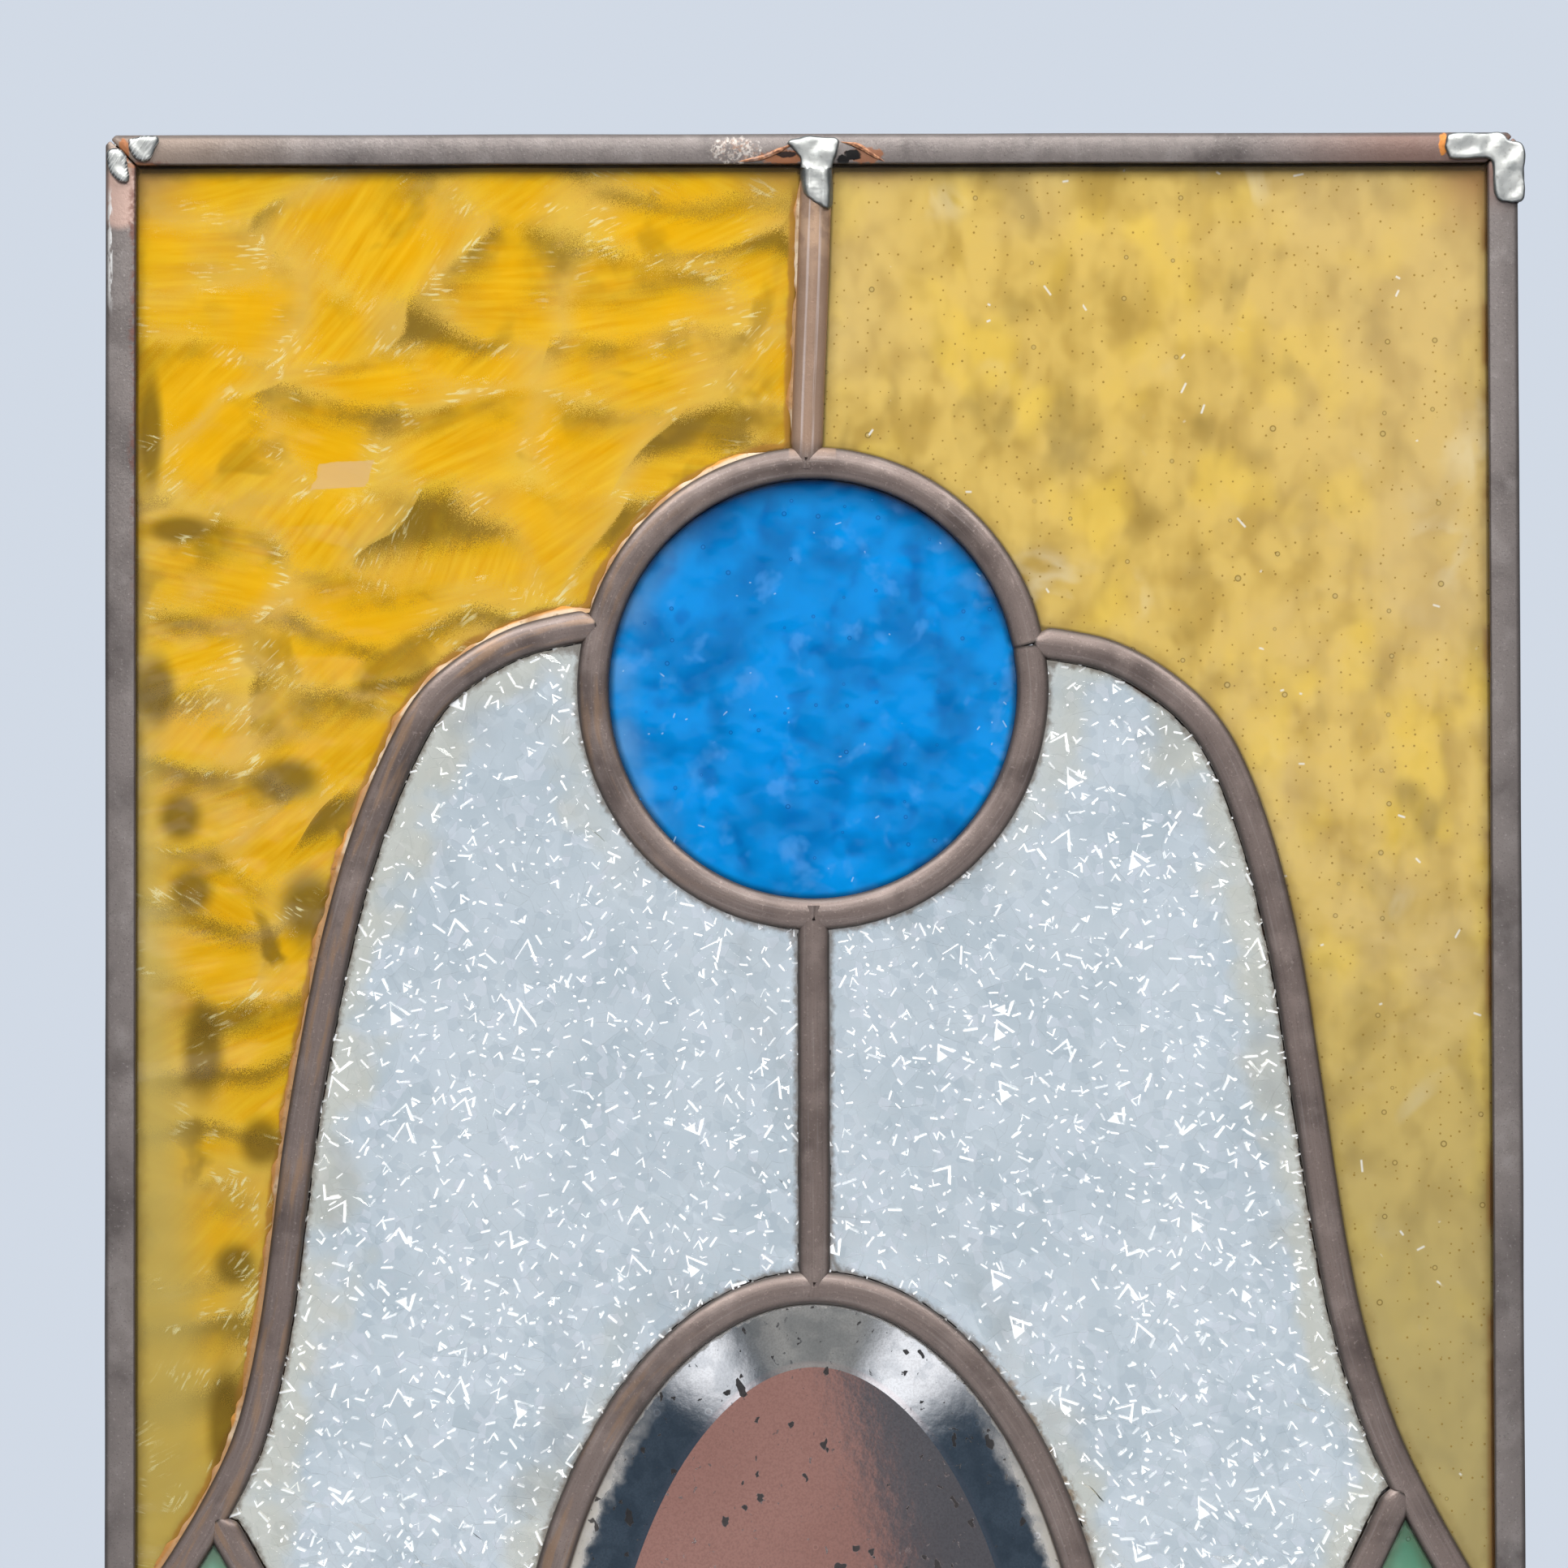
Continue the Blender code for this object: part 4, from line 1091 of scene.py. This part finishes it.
def lip_recipe():
    mix = Recipe("rusty_lead_edge")
    rough = mix.cloud(1100, 4)
    mix.tone = mix.blend(mix.step(rough, 0.35, 0.62), (0.20, 0.080, 0.040), (0.50, 0.235, 0.120))
    mix.lay(mix.patch(420, 3, 0.50, 0.66) * 0.6, (0.34, 0.24, 0.20))
    return mix.finish(Base_Color=mix.tone, Roughness=0.8, Normal=mix.bump(rough, 0.0003, 0.8))


rusty = lip_recipe()
for seed, (side, knots) in enumerate(TORN_LIPS.items()):
    line = even_line([Vector(knot) for knot in knots], LIP_STATION)

    def torn(index):
        ends = min(1.0, (min(index, len(line) - 1 - index) + 0.5) / 7)
        flat = (line[index].x, 0, line[index].y)
        half = ends * (1 + 0.4 * wave(flat, 0.0016, seed))
        rise = LIP_RISE * ends * (1 + 0.5 * wave(flat, 0.0012, seed + 5))
        return [
            (-half, -LEAD_FACE + LIP_FOOT),
            (-half * 0.7, -LEAD_FACE - rise * 0.7),
            (half * 0.1, -LEAD_FACE - rise),
            (half * 0.8, -LEAD_FACE - rise * 0.5),
            (half, -LEAD_FACE + LIP_FOOT),
        ]

    piece(f"torn_lip_{side}", sweep(line, torn, LIP_HALF), rusty)


# The cement: a cream putty brushed under the lead to hold the glass. A ragged line of it still
# shows beside the left amber pane, at the top came, the roundel and the left curve.
CEMENT_SPAN = 0.0008
CEMENT_INNER = 0.0026
CEMENT_SUNK = 0.0001
CEMENT_THICK = 0.0007


def cement_recipe():
    """Cream next to the lead, and stained orange where it thins out on the glass."""
    mix = Recipe("cream_cement")
    out = mix.attribute("across").math("ABSOLUTE") + (mix.cloud(260, 3) - 0.5) * 0.0012
    mix.tone = mix.blend(mix.step(out, 0.0037, 0.0044), (0.60, 0.47, 0.33), (0.58, 0.25, 0.035))
    worn = mix.step(mix.cloud(90, 3) + mix.step(mix.z, 0.37, 0.30) * 0.2, 0.46, 0.60)
    mix.lay(worn * 0.8, (0.36, 0.165, 0.040))
    mix.lay(mix.patch(700, 3, 0.60, 0.72) * 0.6, (0.20, 0.10, 0.03))
    return mix.finish(Base_Color=mix.tone, Roughness=0.85, Normal=mix.bump(mix.cloud(1100, 4), 0.0002, 0.8))


def bead(name, line, width, seed):
    """A ragged line of putty on the glass at a came's left, its inner edge under the lead. width is
    about how far it shows."""
    line = even_line(line[::3] if len(line) > 8 else line, CEMENT_SPAN)

    def at(index):
        place = line[index]
        flat = (place.x, 0, place.y)
        shown = width * max(0.05, 0.5 + 0.75 * wave(flat, 0.009, seed) + 0.35 * wave(flat, 0.0025, seed + 4))
        ends = min(1.0, min(index, len(line) - 1 - index) / 6)
        return [
            (-CEMENT_INNER, -GLASS_HALF + CEMENT_SUNK),
            (-CEMENT_INNER, -GLASS_HALF - CEMENT_THICK),
            (-(CAME_HALF + shown * ends * 0.45), -GLASS_HALF - CEMENT_THICK * 0.57),
            (-(CAME_HALF + shown * ends), -GLASS_HALF + CEMENT_SUNK),
        ]

    piece(name, sweep(line, at, 1.0), cream)


cream = cement_recipe()
arc = [place for place in lines["roundel_ring"] if place.x < -0.008 and place.y > 0.3790]
bead("cement_top_came", lines["came_top_centre"][6:-4], 0.0017, 2)
bead("cement_left_curve", lines["curve_left"], 0.0021, 3)
bead("cement_roundel", arc, 0.0021, 5)


# The studio: a pale floor, a pale blue-grey surround, four soft lights and the camera of the
# photograph. A card before the panel, dark with bright patches, is seen only in mirror and gloss.
FLOOR_RADIUS = 1.2
CARD_AWAY = 1.2
CARD_SIZE = 5.0
CARD_WINDOWS = (((-0.262, 0.375), 0.105, 0.100), ((0.26, 0.37), 0.145, 0.12))
LIGHT_COLOUR = (1.0, 0.985, 0.96)
PANEL_MIDDLE = Vector((0, 0, 0.3))
SURROUND = (0.64, 0.70, 0.79)
CAMERA_PLACE = Vector((-0.0074, -1.0000, 0.3241))
CAMERA_AIM = Vector((-0.0060, -0.0033, 0.3464))
CAMERA_ROLL = math.radians(0.134)
FIELD_AT_PANEL = 0.321
SENSOR = 36.0

bm = bmesh.new()
bmesh.ops.create_circle(bm, cap_ends=True, segments=96, radius=FLOOR_RADIUS)
bmesh.ops.translate(bm, vec=(0, 0, -0.0003), verts=bm.verts)
mesh = bpy.data.meshes.new("floor")
bm.to_mesh(mesh)
bm.free()
floor = bpy.data.objects.new("floor", mesh)
bpy.context.scene.collection.objects.link(floor)
mix = Recipe("pale_floor")
away = (mix.x * mix.x + mix.y * mix.y).math("SQRT")
mesh.materials.append(
    mix.finish(
        Base_Color=mix.blend(mix.cloud(3, 2), (0.70, 0.71, 0.73), (0.76, 0.77, 0.79)),
        Roughness=0.7,
        Alpha=mix.step(away, FLOOR_RADIUS, FLOOR_RADIUS * 0.6),
    )
)
floor.visible_diffuse = False

bm = bmesh.new()
bmesh.ops.create_grid(bm, x_segments=1, y_segments=1, size=CARD_SIZE / 2)
bmesh.ops.rotate(bm, cent=(0, 0, 0), matrix=Matrix.Rotation(math.pi / 2, 3, "X"), verts=bm.verts)
bmesh.ops.translate(bm, vec=(0, -CARD_AWAY, PANEL_MIDDLE.z), verts=bm.verts)
mesh = bpy.data.meshes.new("reflection_card")
bm.to_mesh(mesh)
bm.free()
card = bpy.data.objects.new("reflection_card", mesh)
bpy.context.scene.collection.objects.link(card)
mix = Recipe("reflection_card")
view = mix.blend(mix.cloud(5, 2), (0.030, 0.050, 0.078), (0.075, 0.105, 0.140))
top_light = mix.step(mix.x.math("ABSOLUTE"), 0.24, 0.10)
top_light = top_light * mix.step((mix.z - 0.47).math("ABSOLUTE"), 0.14, 0.04)
view = mix.blend(top_light, view, mix.blend(mix.cloud(16, 4), (0.18, 0.19, 0.195), (0.43, 0.44, 0.43)))
for place, wide, tall in CARD_WINDOWS:
    view = mix.blend(mix.near(place, wide, tall, 0.20), view, (1.02, 1.07, 1.14))
warm = mix.step(mix.x - (0.09 - mix.z) * 0.25, 0.040, 0.012)
centre = mix.blend(warm, (0.104, 0.110, 0.126), (0.36, 0.205, 0.180))
inside = mix.step(mix.x.math("ABSOLUTE"), 0.19, 0.13) * mix.step(mix.z, 0.24, 0.20)
view = mix.blend(inside, view, centre)
glow = mix.node("ShaderNodeEmission", None, {"Color": view, "Strength": 1.0})
plug(mix.tree, mix.tree.nodes["Material Output"].inputs["Surface"], glow)
mesh.materials.append(mix.made)
card.visible_camera = False
card.visible_diffuse = False
card.visible_shadow = False
card.visible_transmission = False

for name, place, size, power in (
    ("window_left", (-0.80, -0.75, 1.55), 0.50, 16.0),
    ("window_right", (0.90, -0.70, 1.50), 0.45, 12.0),
    ("sky_above", (0.0, -0.42, 1.80), 0.70, 9.5),
    ("sky_before", (0.0, -1.10, 1.05), 0.50, 8.2),
):
    light = bpy.data.lights.new(name, "AREA")
    light.size = size
    light.energy = power
    light.color = LIGHT_COLOUR
    made = bpy.data.objects.new(name, light)
    made.location = place
    made.rotation_euler = (PANEL_MIDDLE - made.location).to_track_quat("-Z", "Y").to_euler()
    bpy.context.scene.collection.objects.link(made)

world = bpy.data.worlds.new("studio")
bpy.context.scene.world = world
world.use_nodes = True
sky = world.node_tree
seen = sky.nodes.new("ShaderNodeLightPath")
direction = sky.nodes.new("ShaderNodeTexCoord")
split = sky.nodes.new("ShaderNodeSeparateXYZ")
sky.links.new(direction.outputs["Generated"], split.inputs[0])
height = Wire(sky, split.outputs[2])
through = Wire(sky, seen.outputs["Is Transmission Ray"])
plain = Wire(sky, seen.outputs["Is Camera Ray"]).math("MAXIMUM", through)
dim = (height * 0.5 + 0.5).math("POWER", 1.8).math("MULTIPLY_ADD", 0.66, 0.08)
strength = (dim * (1.0 - plain)).math("ADD", plain)
sky.nodes["Background"].inputs["Color"].default_value = (*SURROUND, 1.0)
plug(sky, sky.nodes["Background"].inputs["Strength"], strength)
bpy.context.scene.view_settings.view_transform = "Standard"

camera = bpy.data.objects.new("camera", bpy.data.cameras.new("camera"))
bpy.context.scene.collection.objects.link(camera)
camera.data.sensor_width = SENSOR
camera.data.lens = SENSOR * (CAMERA_AIM - CAMERA_PLACE).y / FIELD_AT_PANEL
forward = (CAMERA_AIM - CAMERA_PLACE).normalized()
turn = forward.to_track_quat("-Z", "Y").to_matrix() @ Matrix.Rotation(-CAMERA_ROLL, 3, "Z")
camera.matrix_world = Matrix.Translation(CAMERA_PLACE) @ turn.to_4x4()
bpy.context.scene.camera = camera
